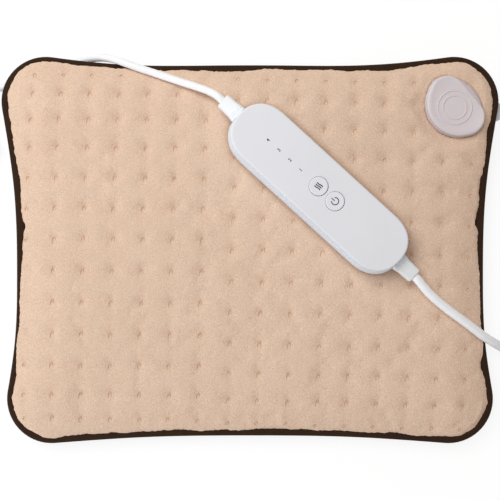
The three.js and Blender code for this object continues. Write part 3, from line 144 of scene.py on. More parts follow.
class NodeBoard:
    """Adds and links the nodes of one material."""

    def __init__(self, name: str) -> None:
        """Starts an empty material with a principled shader.

        Args:
            name: The material's name.
        """
        self.material = bpy.data.materials.new(name)
        self.material.use_nodes = True
        self.tree = self.material.node_tree
        self.tree.nodes.clear()
        self.output = self.tree.nodes.new("ShaderNodeOutputMaterial")
        self.shader = self.add("ShaderNodeBsdfPrincipled")
        self.link(self.shader, "BSDF", self.output, "Surface")

    def add(self, kind: str, values: dict | None = None, **settings) -> Node:
        """Adds a node.

        Args:
            kind: Blender's name of the node type.
            values: Input sockets by name, with the value to set.
            **settings: The node's own properties.

        Returns:
            The new node.
        """
        node = self.tree.nodes.new(kind)
        for key, value in settings.items():
            setattr(node, key, value)
        for key, value in (values or {}).items():
            node.inputs[key].default_value = value
        return node

    def link(self, source: Node, out: str, target: Node, into: str) -> None:
        """Joins an output socket to an input socket, both by name."""
        self.tree.links.new(source.outputs[out], target.inputs[into])

    def surface(self, **values) -> None:
        """Sets constant values on the shader's own sockets, with _ for a space in a name."""
        for key, value in values.items():
            if isinstance(value, tuple) and len(value) == 3:
                value = (*value, 1.0)
            self.shader.inputs[key.replace("_", " ")].default_value = value

    def speckle(self, scale: float, detail: float = 2, coords: str = "Object",
                stretch: tuple[float, float, float] = (1, 1, 1)) -> Node:
        """Adds a noise that is fixed to the piece.

        Args:
            scale: Grains per metre.
            detail: Octaves of finer grain.
            coords: Output of the coordinate node to read.
            stretch: Scale of each axis.

        Returns:
            The noise node.
        """
        place = self.add("ShaderNodeTexCoord")
        mapping = self.add("ShaderNodeMapping", {"Scale": stretch})
        grain = self.add("ShaderNodeTexNoise", {"Scale": scale, "Detail": detail, "Roughness": 0.55})
        self.link(place, coords, mapping, "Vector")
        self.link(mapping, "Vector", grain, "Vector")
        return grain

    def blend(self, parts: Sequence[tuple[Node, str, float]]) -> Node:
        """Adds up weighted factors.

        Args:
            parts: Node, output name and weight of each factor.

        Returns:
            The node whose Value output is the sum.
        """
        total = None
        for node, out, weight in parts:
            share = self.add("ShaderNodeMath", operation="MULTIPLY")
            self.link(node, out, share, 0)
            share.inputs[1].default_value = weight
            if total is None:
                total = share
                continue
            both = self.add("ShaderNodeMath", operation="ADD")
            self.link(total, "Value", both, 0)
            self.link(share, "Value", both, 1)
            total = both
        return total

    def bump(self, height: Node, out: str, depth: float, strength: float = 1) -> None:
        """Gives the shader a relief.

        Args:
            height: Node that gives the height.
            out: Its output.
            depth: Height of the relief, in metres.
            strength: Share of it that shows.
        """
        relief = self.add("ShaderNodeBump", {"Distance": depth, "Strength": strength})
        self.link(height, out, relief, "Height")
        self.link(relief, "Normal", self.shader, "Normal")

    def tint(self, factor: Node, out: str, stops: Sequence[tuple[float, Colour]],
             into: str = "Base Color") -> None:
        """Colours the shader by a factor.

        Args:
            factor: Node that gives the factor.
            out: Its output.
            stops: Places from 0 to 1 and their colours.
            into: Shader input that takes the colour.
        """
        ramp = self.add("ShaderNodeValToRGB")
        elements = ramp.color_ramp.elements
        while len(elements) < len(stops):
            elements.new(0.5)
        for element, (place, colour) in zip(elements, stops):
            element.position = place
            element.color = (*colour, 1.0)
        self.link(factor, out, ramp, "Fac")
        self.link(ramp, "Color", self.shader, into)


def shade(colour: Colour, amount: float) -> Colour:
    """The colour, lighter or darker by that factor."""
    return tuple(min(c * amount, 1.0) for c in colour)


def mixed(one: Colour, other: Colour, share: float) -> Colour:
    """The first colour with a share of the second in it."""
    return tuple(a + (b - a) * share for a, b in zip(one, other))


@dataclass(frozen=True)
class Finish:
    """A finish of the object, whose material is made the first time it is asked for."""

    name: str
    colour: Colour

    @cached_property
    def material(self) -> bpy.types.Material:
        """The finish's material."""
        board = NodeBoard(self.name)
        self.dress(board)
        return board.material

    def dress(self, board: NodeBoard) -> None:
        """Adds the nodes of this kind of finish."""
        raise NotImplementedError


@dataclass(frozen=True)
class Fleece(Finish):
    """Short brushed pile, darkened towards its painted-shade colour where the mesh marks painted shade."""

    painted_shade: Colour
    depth: float = 1.4 * MM

    def dress(self, board: NodeBoard) -> None:
        """Adds clumps and fibres, and painted shade: a mesh attribute darkens the pile towards a warm shade
        colour at each stitch's dimple and round the controller.
        """
        clumps = board.speckle(950, 3)
        fibres = board.speckle(1500, 3)
        broad = board.speckle(30)
        # The mesh's share of painted shade (dimple shade and contact shadow), read as an attribute
        sewn = board.add("ShaderNodeAttribute", attribute_name="painted_shade", attribute_type="GEOMETRY")
        tone = board.blend([
            (clumps, "Fac", 0.36), (fibres, "Fac", 0.48), (broad, "Fac", 0.07), (sewn, "Fac", -0.22)])
        # The darker grain leans towards the painted-shade colour, so that it is warm like shade
        between = mixed(self.colour, self.painted_shade, 0.36)
        board.tint(tone, "Value", [(0.0, self.painted_shade), (0.38, between), (0.56, shade(self.colour, 1.11))])
        height = board.blend([(clumps, "Fac", 0.55), (fibres, "Fac", 0.45)])
        board.bump(height, "Value", self.depth, 0.8)
        board.surface(Roughness=0.95, Specular_IOR_Level=0.12, Sheen_Weight=0.18, Sheen_Roughness=0.45,
                      Sheen_Tint=self.colour)


@dataclass(frozen=True)
class Tape(Finish):
    """Woven tape with fine cross ribs, laid along the piece's own UV map."""

    rib: float = 0.9 * MM

    def dress(self, board: NodeBoard) -> None:
        """Adds ribs across the tape, warp along it and a little wear."""
        place = board.add("ShaderNodeTexCoord")
        rib = board.add("ShaderNodeTexWave", {
            "Scale": 0.314 / self.rib, "Distortion": 0.7, "Detail": 1.0, "Detail Scale": 2.0},
            wave_type="BANDS", bands_direction="X", wave_profile="SIN")
        board.link(place, "UV", rib, "Vector")
        warp = board.speckle(900, 2, "UV", (0.25, 1.6, 1))
        wear = board.speckle(70)
        tone = board.blend([(rib, "Fac", 0.30), (warp, "Fac", 0.35), (wear, "Fac", 0.35)])
        board.tint(tone, "Value", [
            (0.15, shade(self.colour, 0.62)), (0.55, self.colour), (0.9, shade(self.colour, 1.7))])
        height = board.blend([(rib, "Fac", 0.6), (warp, "Fac", 0.4)])
        board.bump(height, "Value", 0.22 * MM, 0.6)
        board.surface(Roughness=0.88, Specular_IOR_Level=0.15, Sheen_Weight=0.05, Sheen_Roughness=0.5,
                      Sheen_Tint=shade(self.colour, 2.0))


@dataclass(frozen=True)
class Plastic(Finish):
    """Moulded plastic with a fine spark grain and a faint uneven gloss."""

    roughness: float = 0.42
    uneven: float = 0.015
    grain: float = 2400
    depth: float = 0.02 * MM
    glow: float = 0.0
    shine: float = 0.42

    def dress(self, board: NodeBoard) -> None:
        """Adds the grain, and flow marks in the colour and the gloss."""
        grain = board.speckle(self.grain)
        flow = board.speckle(26)
        tone = board.blend([(flow, "Fac", 0.7), (grain, "Fac", 0.3)])
        board.tint(tone, "Value", [(0.3, shade(self.colour, 0.975)), (0.7, shade(self.colour, 1.02))])
        gloss = board.add("ShaderNodeMapRange", {
            "From Min": 0.3, "From Max": 0.7,
            "To Min": self.roughness - self.uneven, "To Max": self.roughness + self.uneven})
        board.link(flow, "Fac", gloss, "Value")
        board.link(gloss, "Result", board.shader, "Roughness")
        board.bump(grain, "Fac", self.depth, 0.5)
        board.surface(Specular_IOR_Level=self.shine, Subsurface_Weight=self.glow, Subsurface_Scale=1.5 * MM)


@dataclass(frozen=True)
class Sheath(Finish):
    """Smooth cord sheath, with faint handling marks."""

    roughness: float = 0.42

    def dress(self, board: NodeBoard) -> None:
        """Adds the marks and the skin's fine relief."""
        marks = board.speckle(160, 3)
        skin = board.speckle(1800)
        tone = board.blend([(marks, "Fac", 0.75), (skin, "Fac", 0.25)])
        board.tint(tone, "Value", [(0.3, shade(self.colour, 0.96)), (0.68, shade(self.colour, 1.02))])
        board.bump(skin, "Fac", 0.03 * MM, 0.5)
        board.surface(Roughness=self.roughness, Specular_IOR_Level=0.45)


@dataclass(frozen=True)
class Metal(Finish):
    """Bare or plated metal with fine drawn lines."""

    roughness: float = 0.25

    def dress(self, board: NodeBoard) -> None:
        """Adds the drawn lines."""
        drawn = board.speckle(900, stretch=(0.15, 1, 1))
        board.tint(drawn, "Fac", [(0.3, shade(self.colour, 0.9)), (0.7, self.colour)])
        board.bump(drawn, "Fac", 0.015 * MM, 0.4)
        board.surface(Metallic=1.0, Roughness=self.roughness)


@dataclass(frozen=True)
class Print(Finish):
    """Ink or thread: a matt colour with a little unevenness."""

    grain: float = 2600

    def dress(self, board: NodeBoard) -> None:
        """Adds the unevenness."""
        grain = board.speckle(self.grain)
        board.tint(grain, "Fac", [(0.3, shade(self.colour, 0.85)), (0.7, shade(self.colour, 1.12))])
        board.bump(grain, "Fac", 0.05 * MM, 0.5)
        board.surface(Roughness=0.75, Specular_IOR_Level=0.25)


@dataclass(frozen=True)
class Laminate(Finish):
    """Circuit board with lacquer over faint copper lanes."""

    lanes: float = 120

    def dress(self, board: NodeBoard) -> None:
        """Adds the lanes."""
        place = board.add("ShaderNodeTexCoord")
        lanes = board.add("ShaderNodeTexBrick", {
            "Scale": self.lanes, "Mortar Size": 0.06, "Color1": (0.3, 0.3, 0.3, 1),
            "Color2": (0.5, 0.5, 0.5, 1), "Mortar": (0.9, 0.9, 0.9, 1)})
        board.link(place, "Object", lanes, "Vector")
        board.tint(lanes, "Fac", [(0.0, self.colour), (1.0, shade(self.colour, 1.5))])
        board.bump(lanes, "Fac", 0.04 * MM, 0.5)
        board.surface(Roughness=0.35)


@dataclass(frozen=True)
class Clear(Finish):
    """Clear moulded plastic, tinted by its colour."""

    transmission: float = 0.75

    def dress(self, board: NodeBoard) -> None:
        """Adds a faint haze."""
        haze = board.speckle(500)
        board.tint(haze, "Fac", [(0.3, shade(self.colour, 0.94)), (0.7, self.colour)])
        board.bump(haze, "Fac", 0.02 * MM, 0.3)
        board.surface(Roughness=0.18, Transmission_Weight=self.transmission, IOR=1.49)


class Palette:
    """Every finish on the object."""

    # Each pile's second colour is its painted shade, the warm dark that painted dimple shade and contact
    # shadows blend towards
    FLEECE = Fleece("fleece_pile", linear(231, 203, 181), linear(196, 154, 124))
    BACKING = Fleece("backing_pile", linear(224, 199, 176), linear(190, 156, 130), 0.98 * MM)
    BINDING = Tape("binding_tape", linear(48, 30, 17))
    BINDING_THREAD = Print("binding_thread", linear(58, 38, 24), 900)
    TUFT_THREAD = Print("tuft_thread", linear(208, 172, 145), 1200)
    SHELL = Plastic("controller_shell", linear(225, 225, 230), 0.5, shine=0.15)
    # The shell's walls are a bluer copy of its finish: painted cool light on the sides
    SHELL_WALL_PAINTED_LIGHT = Plastic("controller_side_painted_light", linear(226, 239, 255))
    KEY = Plastic("key_face", linear(226, 226, 231), 0.5, shine=0.15)
    INK = Print("printed_marks", linear(40, 41, 45))
    RELIEF = Plastic("strain_relief", linear(231, 232, 234))
    CORD = Sheath("cord_sheath", linear(241, 241, 244), 0.34)
    SOCKET = Plastic("socket_shell", linear(211, 201, 204), 0.4, glow=0.12)
    PLUG = Plastic("plug_shell", linear(234, 234, 235), 0.45)
    TIE = Tape("tie_strap", linear(44, 44, 48), 1.4 * MM)
    CHROME = Metal("pin_chrome", linear(214, 214, 218), 0.18)
    BRASS = Metal("contact_brass", linear(214, 178, 96), 0.26)
    STEEL = Metal("screw_steel", linear(176, 178, 182), 0.32)
    CARRIER = Fleece("carrier_cloth", linear(232, 228, 218), linear(214, 208, 196), 0.49 * MM)
    WIRE = Sheath("wire_sheath", linear(216, 210, 196), 0.5)
    DARK = Plastic("dark_plastic", linear(40, 40, 44), 0.5)
    LAMP = Clear("lamp_amber", linear(235, 165, 96), 0.45)
    CLEAR = Clear("clear_plastic", linear(226, 232, 236))
    BOARD = Laminate("board_lacquer", linear(38, 92, 54))


# Mesh tools


def add_object(name: str, data: bpy.types.ID) -> Piece:
    """Puts a new object in the scene."""
    thing = bpy.data.objects.new(name, data)
    bpy.context.scene.collection.objects.link(thing)
    return thing


def mesh_of(bm: BMesh, name: str) -> bpy.types.Mesh:
    """Writes a mesh under construction, which is used up, into a new mesh."""
    mesh = bpy.data.meshes.new(name)
    bm.to_mesh(mesh)
    bm.free()
    return mesh


def modified_mesh(thing: Piece) -> bpy.types.Mesh:
    """A new mesh of an object as its modifiers leave it."""
    graph = bpy.context.evaluated_depsgraph_get()
    return bpy.data.meshes.new_from_object(thing.evaluated_get(graph))


def layered_noise(place: Sequence[float], layers: Sequence[tuple[float, float, float]]) -> float:
    """Adds up layers of noise at a place seen from above.

    Args:
        place: Its x and y.
        layers: Scale, seed and size of each layer.

    Returns:
        The sum.
    """
    return sum(size * noise.noise(Vector((place[0] * scale, place[1] * scale, seed)))
               for scale, seed, size in layers)


def quarter_round(steps: int) -> list[tuple[float, float]]:
    """Points of a quarter circle of radius 1, from straight out to straight up."""
    turns = [math.pi / 2 * i / steps for i in range(steps + 1)]
    return [(math.cos(a), math.sin(a)) for a in turns]


def loop_edges(bm: BMesh, loop: Sequence[Vert]) -> list[bmesh.types.BMEdge]:
    """The edges that join a closed loop of vertices, in order."""
    return [bm.edges.get((a, loop[(i + 1) % len(loop)])) for i, a in enumerate(loop)]


def start_loop(bm: BMesh, ring: Ring) -> list[Vert]:
    """Starts a closed loop of edges on a ring of points.

    Args:
        bm: The mesh to add to.
        ring: The points, in order.

    Returns:
        The loop's vertices, in order.
    """
    loop = bmesh.ops.create_circle(bm, cap_ends=False, radius=1, segments=len(ring))["verts"]
    for vert, place in zip(loop, ring):
        vert.co = place
    return loop


def grow_loop(bm: BMesh, loop: Sequence[Vert],
              ring: Ring) -> list[Vert]:
    """Extrudes a closed loop of edges onto a new ring of as many points.

    Args:
        bm: The mesh.
        loop: The loop's vertices, in order.
        ring: Where the new vertices go.

    Returns:
        The new loop's vertices, in the same order.
    """
    made = bmesh.ops.extrude_edge_only(bm, edges=loop_edges(bm, loop))["geom"]
    fresh = {g for g in made if isinstance(g, Vert)}
    grown = []
    for vert, place in zip(loop, ring):
        twin = next(e.other_vert(vert) for e in vert.link_edges if e.other_vert(vert) in fresh)
        twin.co = place
        grown.append(twin)
    return grown


def cap_loop(bm: BMesh, *loops: Sequence[Vert]) -> None:
    """Closes a loop with a flat face, or with triangles where it has other loops as holes in it."""
    edges = [e for loop in loops for e in loop_edges(bm, loop)]
    if len(loops) == 1:
        bmesh.ops.contextual_create(bm, geom=edges)
    else:
        bmesh.ops.triangle_fill(bm, use_beauty=True, use_dissolve=False, edges=edges)


def loft(rings: Sequence[Ring], bm: BMesh | None = None) -> BMesh:
    """Skins a row of rings that have as many points each, and closes both ends.

    Args:
        rings: The rings, in order.
        bm: The mesh to add to, if not a new one.

    Returns:
        The mesh.
    """
    bm = bmesh.new() if bm is None else bm
    loop = start_loop(bm, rings[0])
    cap_loop(bm, loop)
    for ring in rings[1:]:
        loop = grow_loop(bm, loop, ring)
    cap_loop(bm, loop)
    bmesh.ops.recalc_face_normals(bm, faces=bm.faces)
    return bm


def ring_tube(rings: Sequence[Ring]) -> BMesh:
    """Skins rings that close on themselves, the last one joined to the first.

    Args:
        rings: The rings, in order.

    Returns:
        The new mesh.
    """
    bm = bmesh.new()
    first = loop = start_loop(bm, rings[0])
    for ring in rings[1:]:
        loop = grow_loop(bm, loop, ring)
    bmesh.ops.bridge_loops(bm, edges=loop_edges(bm, loop) + loop_edges(bm, first))
    bmesh.ops.recalc_face_normals(bm, faces=bm.faces)
    return bm


def turned(profile: Sequence[tuple[float, float]], steps: int) -> BMesh:
    """Spins a profile about Z.

    Args:
        profile: Radius and height of each point.
        steps: Number of sides.

    Returns:
        The new mesh.
    """
    bm = bmesh.new()
    verts = [bm.verts.new((r, 0, z)) for r, z in profile]
    edges = [bm.edges.new(pair) for pair in zip(verts, verts[1:])]
    bmesh.ops.spin(bm, geom=verts + edges, cent=(0, 0, 0), axis=(0, 0, 1), angle=2 * math.pi, steps=steps,
                   use_merge=True, use_duplicate=False)
    bmesh.ops.remove_doubles(bm, verts=bm.verts, dist=1e-6)
    bmesh.ops.recalc_face_normals(bm, faces=bm.faces)
    return bm


def ribbed_profile(length: float, near: float, far: float, ribs: int) -> list[tuple[float, float]]:
    """Profile of a tapered relief with soft ribs.

    Args:
        length: Its length.
        near: Radius at its start.
        far: Radius that it tapers towards.
        ribs: Number of ribs.

    Returns:
        Radius and height of each point.
    """
    step, soft, dip = length / ribs, 0.2 * MM, 0.45 * MM
    land, shoulder, groove, next_rib = 0.55 * step, 0.62 * step, 0.66 * step, 0.97 * step
    profile = [(0, 0)]
    for i in range(ribs):
        r = near + (far - near) * i / ribs
        z = i * step
        profile += [(r - soft, z), (r, z + soft), (r, z + land), (r - soft, z + shoulder),
                    (r - dip, z + groove), (r - dip, z + next_rib)]
    return [*profile, (0, length)]


def moulded(steps: Sequence[tuple[float, float, float]], start: float) -> BMesh:
    """A moulded body of round-cornered sections along X.

    Args:
        steps: Distance, width and height of each section, in millimetres.
        start: Where distance 0 lies.

    Returns:
        The new mesh.
    """
    corner, corner_steps = 0.32, 8
    rings = []
    for x, width, height in steps:
        ring = rounded_ring(width * MM, height * MM, height * corner * MM, corner_steps)
        rings.append([Vector((start + x * MM, y, z)) for y, z in ring])
    return loft(rings)


def cut_away(bm: BMesh, tool: BMesh) -> BMesh:
    """Cuts one closed mesh out of another.

    Args:
        bm: The mesh to cut, which is used up.
        tool: What is taken out of it, which is used up too.

    Returns:
        The rest.
    """
    things = [add_object("cut", mesh_of(source, "cut")) for source in (bm, tool)]
    cut = things[0].modifiers.new("cut", "BOOLEAN")
    cut.operation, cut.solver, cut.object = "DIFFERENCE", "EXACT", things[1]
    mesh = modified_mesh(things[0])
    rest = bmesh.new()
    rest.from_mesh(mesh)
    bpy.data.meshes.remove(mesh)
    for thing in things:
        bpy.data.objects.remove(thing)
    return rest


def ribbon(bm: BMesh, path: Sequence[Vector], width: float, depth: float) -> None:
    """Adds a flat printed line that follows a path in a level plane.

    Args:
        bm: The mesh to add to.
        path: Points along the line's middle.
        width: Width of the line.
        depth: Height of the line above the path.
    """
    rise = Vector((0, 0, depth))
    rings = []
    for i, place in enumerate(path):
        ahead = path[min(i + 1, len(path) - 1)] - path[max(i - 1, 0)]
        side = Vector((-ahead.y, ahead.x, 0)).normalized() * (width / 2)
        rings.append([place + side, place - side, place - side + rise, place + side + rise])
    loft(rings, bm)


def rounded_ring(width: float, height: float, radius: float, corner: int = 6) -> list[tuple[float, float]]:
    """A rectangle with round corners, about the middle.

    Args:
        width: Size along the first axis.
        height: Size along the second axis.
        radius: Radius of the corners.
        corner: Steps in each corner.

    Returns:
        The points, in order.
    """
    points = []
    for quarter, (sx, sy) in enumerate([(1, 1), (-1, 1), (-1, -1), (1, -1)]):
        cx, cy = sx * (width / 2 - radius), sy * (height / 2 - radius)
        for i in range(corner + 1):
            a = math.radians(90) * (quarter + i / corner)
            points.append((cx + radius * math.cos(a), cy + radius * math.sin(a)))
    return points


def place_piece(bm: BMesh, name: str, finish: Finish, nodes: Iterable[str] = (),
                move: Matrix | None = None, crease: float = 38, body: Body = Body.PAD) -> Piece:
    """Turns a mesh into a piece that rides on a body.

    Args:
        bm: The mesh, which is used up.
        name: The piece's name.
        finish: Its finish.
        nodes: Frame nodes that it stands for.
        move: Where it goes, applied to the mesh.
        crease: Angle in degrees past which an edge shows as a crease.
        body: The body it rides on.

    Returns:
        The piece.
    """
    if move is not None:
        bmesh.ops.transform(bm, matrix=move, verts=bm.verts)
    mesh = mesh_of(bm, name)
    mesh.shade_smooth()
    mesh.set_sharp_from_angle(angle=math.radians(crease))
    mesh.materials.append(finish.material)
    return ride_piece(add_object(name, mesh), body, nodes)


def ride_piece(piece: Piece, body: Body, nodes: Iterable[str]) -> Piece:
    """Lets a piece ride on a body and hides the nodes it stands for.

    Args:
        piece: The piece.
        body: The body.
        nodes: Frame nodes that it stands for.

    Returns:
        The piece.
    """
    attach(piece, body.value)
    if nodes:
        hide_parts(*nodes)
    LOG.info("%s on %s", piece.name, body.value)
    return piece


# Plans: outlines shared by several pieces


@dataclass(frozen=True)
class PadPlan:
    """The pad from above: four round ears with drawn-in sides between them."""

    top_width: float = 400 * MM
    bottom_width: float = 391 * MM
    depth: float = 311 * MM
    side_draw: float = 12.5 * MM
    top_draw: float = 6.8 * MM
    bottom_draw: float = 6.2 * MM
    waist_shift: float = -18 * MM
    corner_radius: float = 36 * MM
    least_radius: float = 6 * MM
    side_flare: float = math.radians(10)
    top_flare: float = math.radians(8)
    bottom_flare: float = math.radians(4.5)
    pull: float = 0.42
    side_steps: int = 26
    corner_steps: int = 18

    def _quarter(self, ear_x: float, waist: float, draw: float, flare: float,
                 inset: float) -> list[tuple[float, float]]:
        """One quarter of the outline, from the side's waist to the end's waist.

        Args:
            ear_x: How far the ear reaches sideways.
            waist: Height of the side's waist.
            draw: How far the end is drawn in at its middle.
            flare: Angle by which the ear's arc runs on past the end's line.
            inset: How far inside the outline.

        Returns:
            The quarter's points on the +X +Y side.
        """
        radius = max(self.corner_radius - inset, self.least_radius)
        cx, cy = ear_x - inset - radius, self.depth / 2 - inset - radius
        first, last = -self.side_flare, math.pi / 2 + flare

        def on_arc(a: float) -> Vector:
            """A point of the ear's arc."""
            return Vector((cx + radius * math.cos(a), cy + radius * math.sin(a)))

        def heading(a: float) -> Vector:
            """The way along the arc."""
            return Vector((-math.sin(a), math.cos(a)))

        def bezier(p: Sequence[Vector], t: float) -> Vector:
            """A point of a cubic curve."""
            s = 1 - t
            return p[0] * s**3 + p[1] * (3 * s * s * t) + p[2] * (3 * s * t * t) + p[3] * t**3

        side = Vector((self.top_width / 2 - self.side_draw - inset, waist))
        top = Vector((0, self.depth / 2 - draw - inset))
        start, stop = on_arc(first), on_arc(last)
        side_pull, top_pull = (start.y - side.y) * self.pull, stop.x * self.pull
        rise = [side, side + Vector((0, side_pull)), start - heading(first) * side_pull, start]
        run = [stop, stop + heading(last) * top_pull, Vector((top_pull, top.y)), top]
        points = [bezier(rise, i / self.side_steps) for i in range(self.side_steps)]
        points += [on_arc(first + (last - first) * i / self.corner_steps) for i in range(self.corner_steps)]
        points += [bezier(run, i / self.side_steps) for i in range(self.side_steps + 1)]
        return [(p.x, p.y) for p in points]

    def outline(self, inset: float = 0) -> np.ndarray:
        """The whole outline, counter-clockwise from the right side's waist.

        Args:
            inset: How far inside the outer edge.

        Returns:
            The points as an array of rows.
        """
        upper = np.array(self._quarter(
            self.top_width / 2, self.waist_shift, self.top_draw, self.top_flare, inset))
        lower = np.array(self._quarter(
            self.bottom_width / 2, -self.waist_shift, self.bottom_draw, self.bottom_flare, inset))
        return np.vstack([
            upper[:-1], (upper * (-1, 1))[::-1][:-1], (lower * (-1, -1))[:-1], (lower * (1, -1))[::-1][:-1]])

    def ring(self, inset: float, z: float) -> Ring:
        """The outline at a height, as a ring of points."""
        return [Vector((x, y, z)) for x, y in self.outline(inset)]

    def side_curves(self, inset: float, across: int, along: int) -> list[np.ndarray]:
        """The outline's four sides between the middles of its ears, evenly spaced.

        Args:
            inset: How far inside the outer edge.
            across: Steps along the top and the bottom.
            along: Steps along the left and the right.

        Returns:
            Bottom, right, top and left, each going right or up.
        """
        points = self.outline(inset)
        quarter = len(points) // 4
        middle = self.side_steps + self.corner_steps // 2
        corners = [middle, 2 * quarter - middle, 2 * quarter + middle, 4 * quarter - middle]

        def stretch(a: int, b: int, steps: int) -> np.ndarray:
            """Even points from corner a to corner b."""
            part = np.vstack([points[a:], points[:b + 1]]) if b < a else points[a:b + 1]
            reach = np.concatenate([[0], np.cumsum(np.linalg.norm(np.diff(part, axis=0), axis=1))])
            at = np.linspace(0, reach[-1], steps + 1)
            return np.column_stack([np.interp(at, reach, part[:, k]) for k in (0, 1)])

        top = stretch(corners[0], corners[1], across)[::-1]
        left = stretch(corners[1], corners[2], along)[::-1]
        bottom = stretch(corners[2], corners[3], across)
        right = stretch(corners[3], corners[0], along)
        return [bottom, right, top, left]

    def distance(self, places: np.ndarray) -> np.ndarray:
        """How far inside the outer edge each row of x and y is."""
        return polygon_distance(self.outline(), places)


def polygon_distance(outline: np.ndarray, places: np.ndarray) -> np.ndarray:
    """Distance of each place inside a closed outline, negative outside it.

    Args:
        outline: Rows of x and y.
        places: Rows of x and y.

    Returns:
        One distance for each place.
    """
    least = np.full(len(places), np.inf)
    inside = np.zeros(len(places), bool)
    for a, b in zip(outline, np.roll(outline, -1, axis=0)):
        way = b - a
        t = np.clip(((places - a) @ way) / max(way @ way, 1e-18), 0, 1)
        least = np.minimum(least, np.linalg.norm(places - a - t[:, None] * way, axis=1))
        if a[1] != b[1]:
            crossing = (a[1] > places[:, 1]) != (b[1] > places[:, 1])
            meet = way[0] * (places[:, 1] - a[1]) / way[1] + a[0]
            inside ^= crossing & (places[:, 0] < meet)
    return np.where(inside, least, -least)


@dataclass(frozen=True)
class SocketPlan:
    """A socket piece from above: a round back and two horns with a flat side or a dip between them."""

    turn: float
    radius: float
    shift: float
    horn_radius: float
    lean: float
    reach: float
    horn_end: float
    foot_end: float = math.radians(40)
    foot_bulge: float = 8.4 * MM
    x: float = 161.8 * MM
    y: float = 112.7 * MM
    horn_steps: int = 16
    back_steps: int = 22
    side_steps: int = 14

    def outline(self, grow: float, dip: float, end: float | None = None) -> Ring:
        """The outline about the socket's middle, with the flat side facing +X.

        Args:
            grow: How far outside the plain outline.
            dip: How far the flat side draws in, or below 0 how far it swells out.
            end: Angle at which the horns end, if not their own.

        Returns:
            The points at height 0.
        """
        end = self.horn_end if end is None else end
        big, tip = self.radius + grow, self.horn_radius + grow
        inner = self.radius - self.horn_radius
        horn_x = self.shift - inner * math.sin(self.lean) + self.reach * math.cos(self.lean)
        horn_y = inner * math.cos(self.lean) + self.reach * math.sin(self.lean)
        start = math.pi / 2 + self.lean
        upper = []
        for i in range(self.horn_steps + 1):
            a = end + (start - end) * i / self.horn_steps
            upper.append(Vector((horn_x + tip * math.cos(a), horn_y + tip * math.sin(a), 0)))
        for i in range(1, self.back_steps + 1):
            a = start + (math.pi - start) * i / self.back_steps
            upper.append(Vector((self.shift + big * math.cos(a), big * math.sin(a), 0)))
        lower = [Vector((p.x, -p.y, 0)) for p in reversed(upper[:-1])]
        first, last = lower[-1], upper[0]
        hollow = []
        for i in range(1, self.side_steps):
            t = i / self.side_steps
            place = first.lerp(last, t)
            place.x -= dip * (math.sin(math.pi * t) ** 2 if dip > 0 else 4 * t * (1 - t))
            hollow.append(place)
        return upper + lower + hollow

    def foot(self, grow: float) -> Ring:
        """The outline of the foot, full all round."""
        return self.outline(grow, -self.foot_bulge, self.foot_end)

    def placed(self, grow: float, foot: bool = False) -> np.ndarray:
        """The outline where it lies on the pad.

        Args:
            grow: How far outside the plain outline.
            foot: Whether it is the foot's outline.

        Returns:
            Rows of x and y.
        """
        turn = Matrix.Rotation(self.turn, 3, "Z")
        ring = self.foot(grow) if foot else self.outline(grow, 0)
        return np.array([(turn @ p + Vector((self.x, self.y, 0)))[:2] for p in ring])


SOCKET_COVER = SocketPlan(math.radians(39.5), 25.5 * MM, 5.2 * MM, 14.2 * MM, math.radians(28.6), 3.6 * MM,
                          math.radians(5))
SOCKET_BASE = SocketPlan(0, 21 * MM, 4.2 * MM, 7 * MM, math.radians(18), 14 * MM, math.radians(-21))


@dataclass(frozen=True)
class HandsetPlan:
    """The controller from above: straight sides and full round ends."""

    x: float = 53.4 * MM
    y: float = 48 * MM
    floor: float = 25.3 * MM
    turn: float = math.radians(-42.45)
    length: float = 172 * MM
    width: float = 51.6 * MM
    height: float = 22 * MM
    cap: float = 29 * MM
    power: float = 2.3
    draft: float = 3 * MM
    foot: float = 3 * MM
    parting: float = 11 * MM
    lead_axis: float = 9 * MM
    steps: int = 56

    def outline(self, inset: float) -> list[tuple[float, float]]:
        """The outline about the middle, long along X.

        Args:
            inset: How far inside the foot's outline.

        Returns:
            The points, in order.
        """
        points = []
        straight = self.length / 2 - self.cap
        for side in (1, -1):
            for i in range(self.steps + 1):
                a = math.pi * (i / self.steps - 0.5)
                c, s = max(math.cos(a), 0.0), math.sin(a)
                x = straight + (self.cap - inset) * c ** (2 / self.power)
                y = (self.width / 2 - inset) * math.copysign(abs(s) ** (2 / self.power), s)
                points.append((side * x, side * y))
        return points

    def ring(self, inset: float, z: float) -> Ring:
        """The outline at a height, as a ring of points."""
        return [Vector((x, y, z)) for x, y in self.outline(inset)]

    def draft_at(self, z: float) -> float:
        """How far the drafted wall has drawn in at a height."""
        return self.draft * max(z - self.foot, 0) / (self.height - self.foot)

    @property
    def place(self) -> Matrix:
        """From the controller's own frame to the pad's."""
        return Matrix.Translation((self.x, self.y, self.floor)) @ Matrix.Rotation(self.turn, 4, "Z")

    def end_at(self, y: float, z: float) -> float:
        """How far the drafted end wall reaches along X at a place across it and a height."""
        inset = self.draft_at(z)
        s = (abs(y) / (self.width / 2 - inset)) ** (self.power / 2)
        return self.length / 2 - self.cap + (self.cap - inset) * math.sqrt(1 - s * s) ** (2 / self.power)

    def lead_end(self, side: int, reach: float) -> Vector:
        """A point on the pad lead's axis, with side 1, or on the mains lead's, with side -1."""
        return self.place @ Vector((side * reach, 0, self.lead_axis))


# Camera and studio


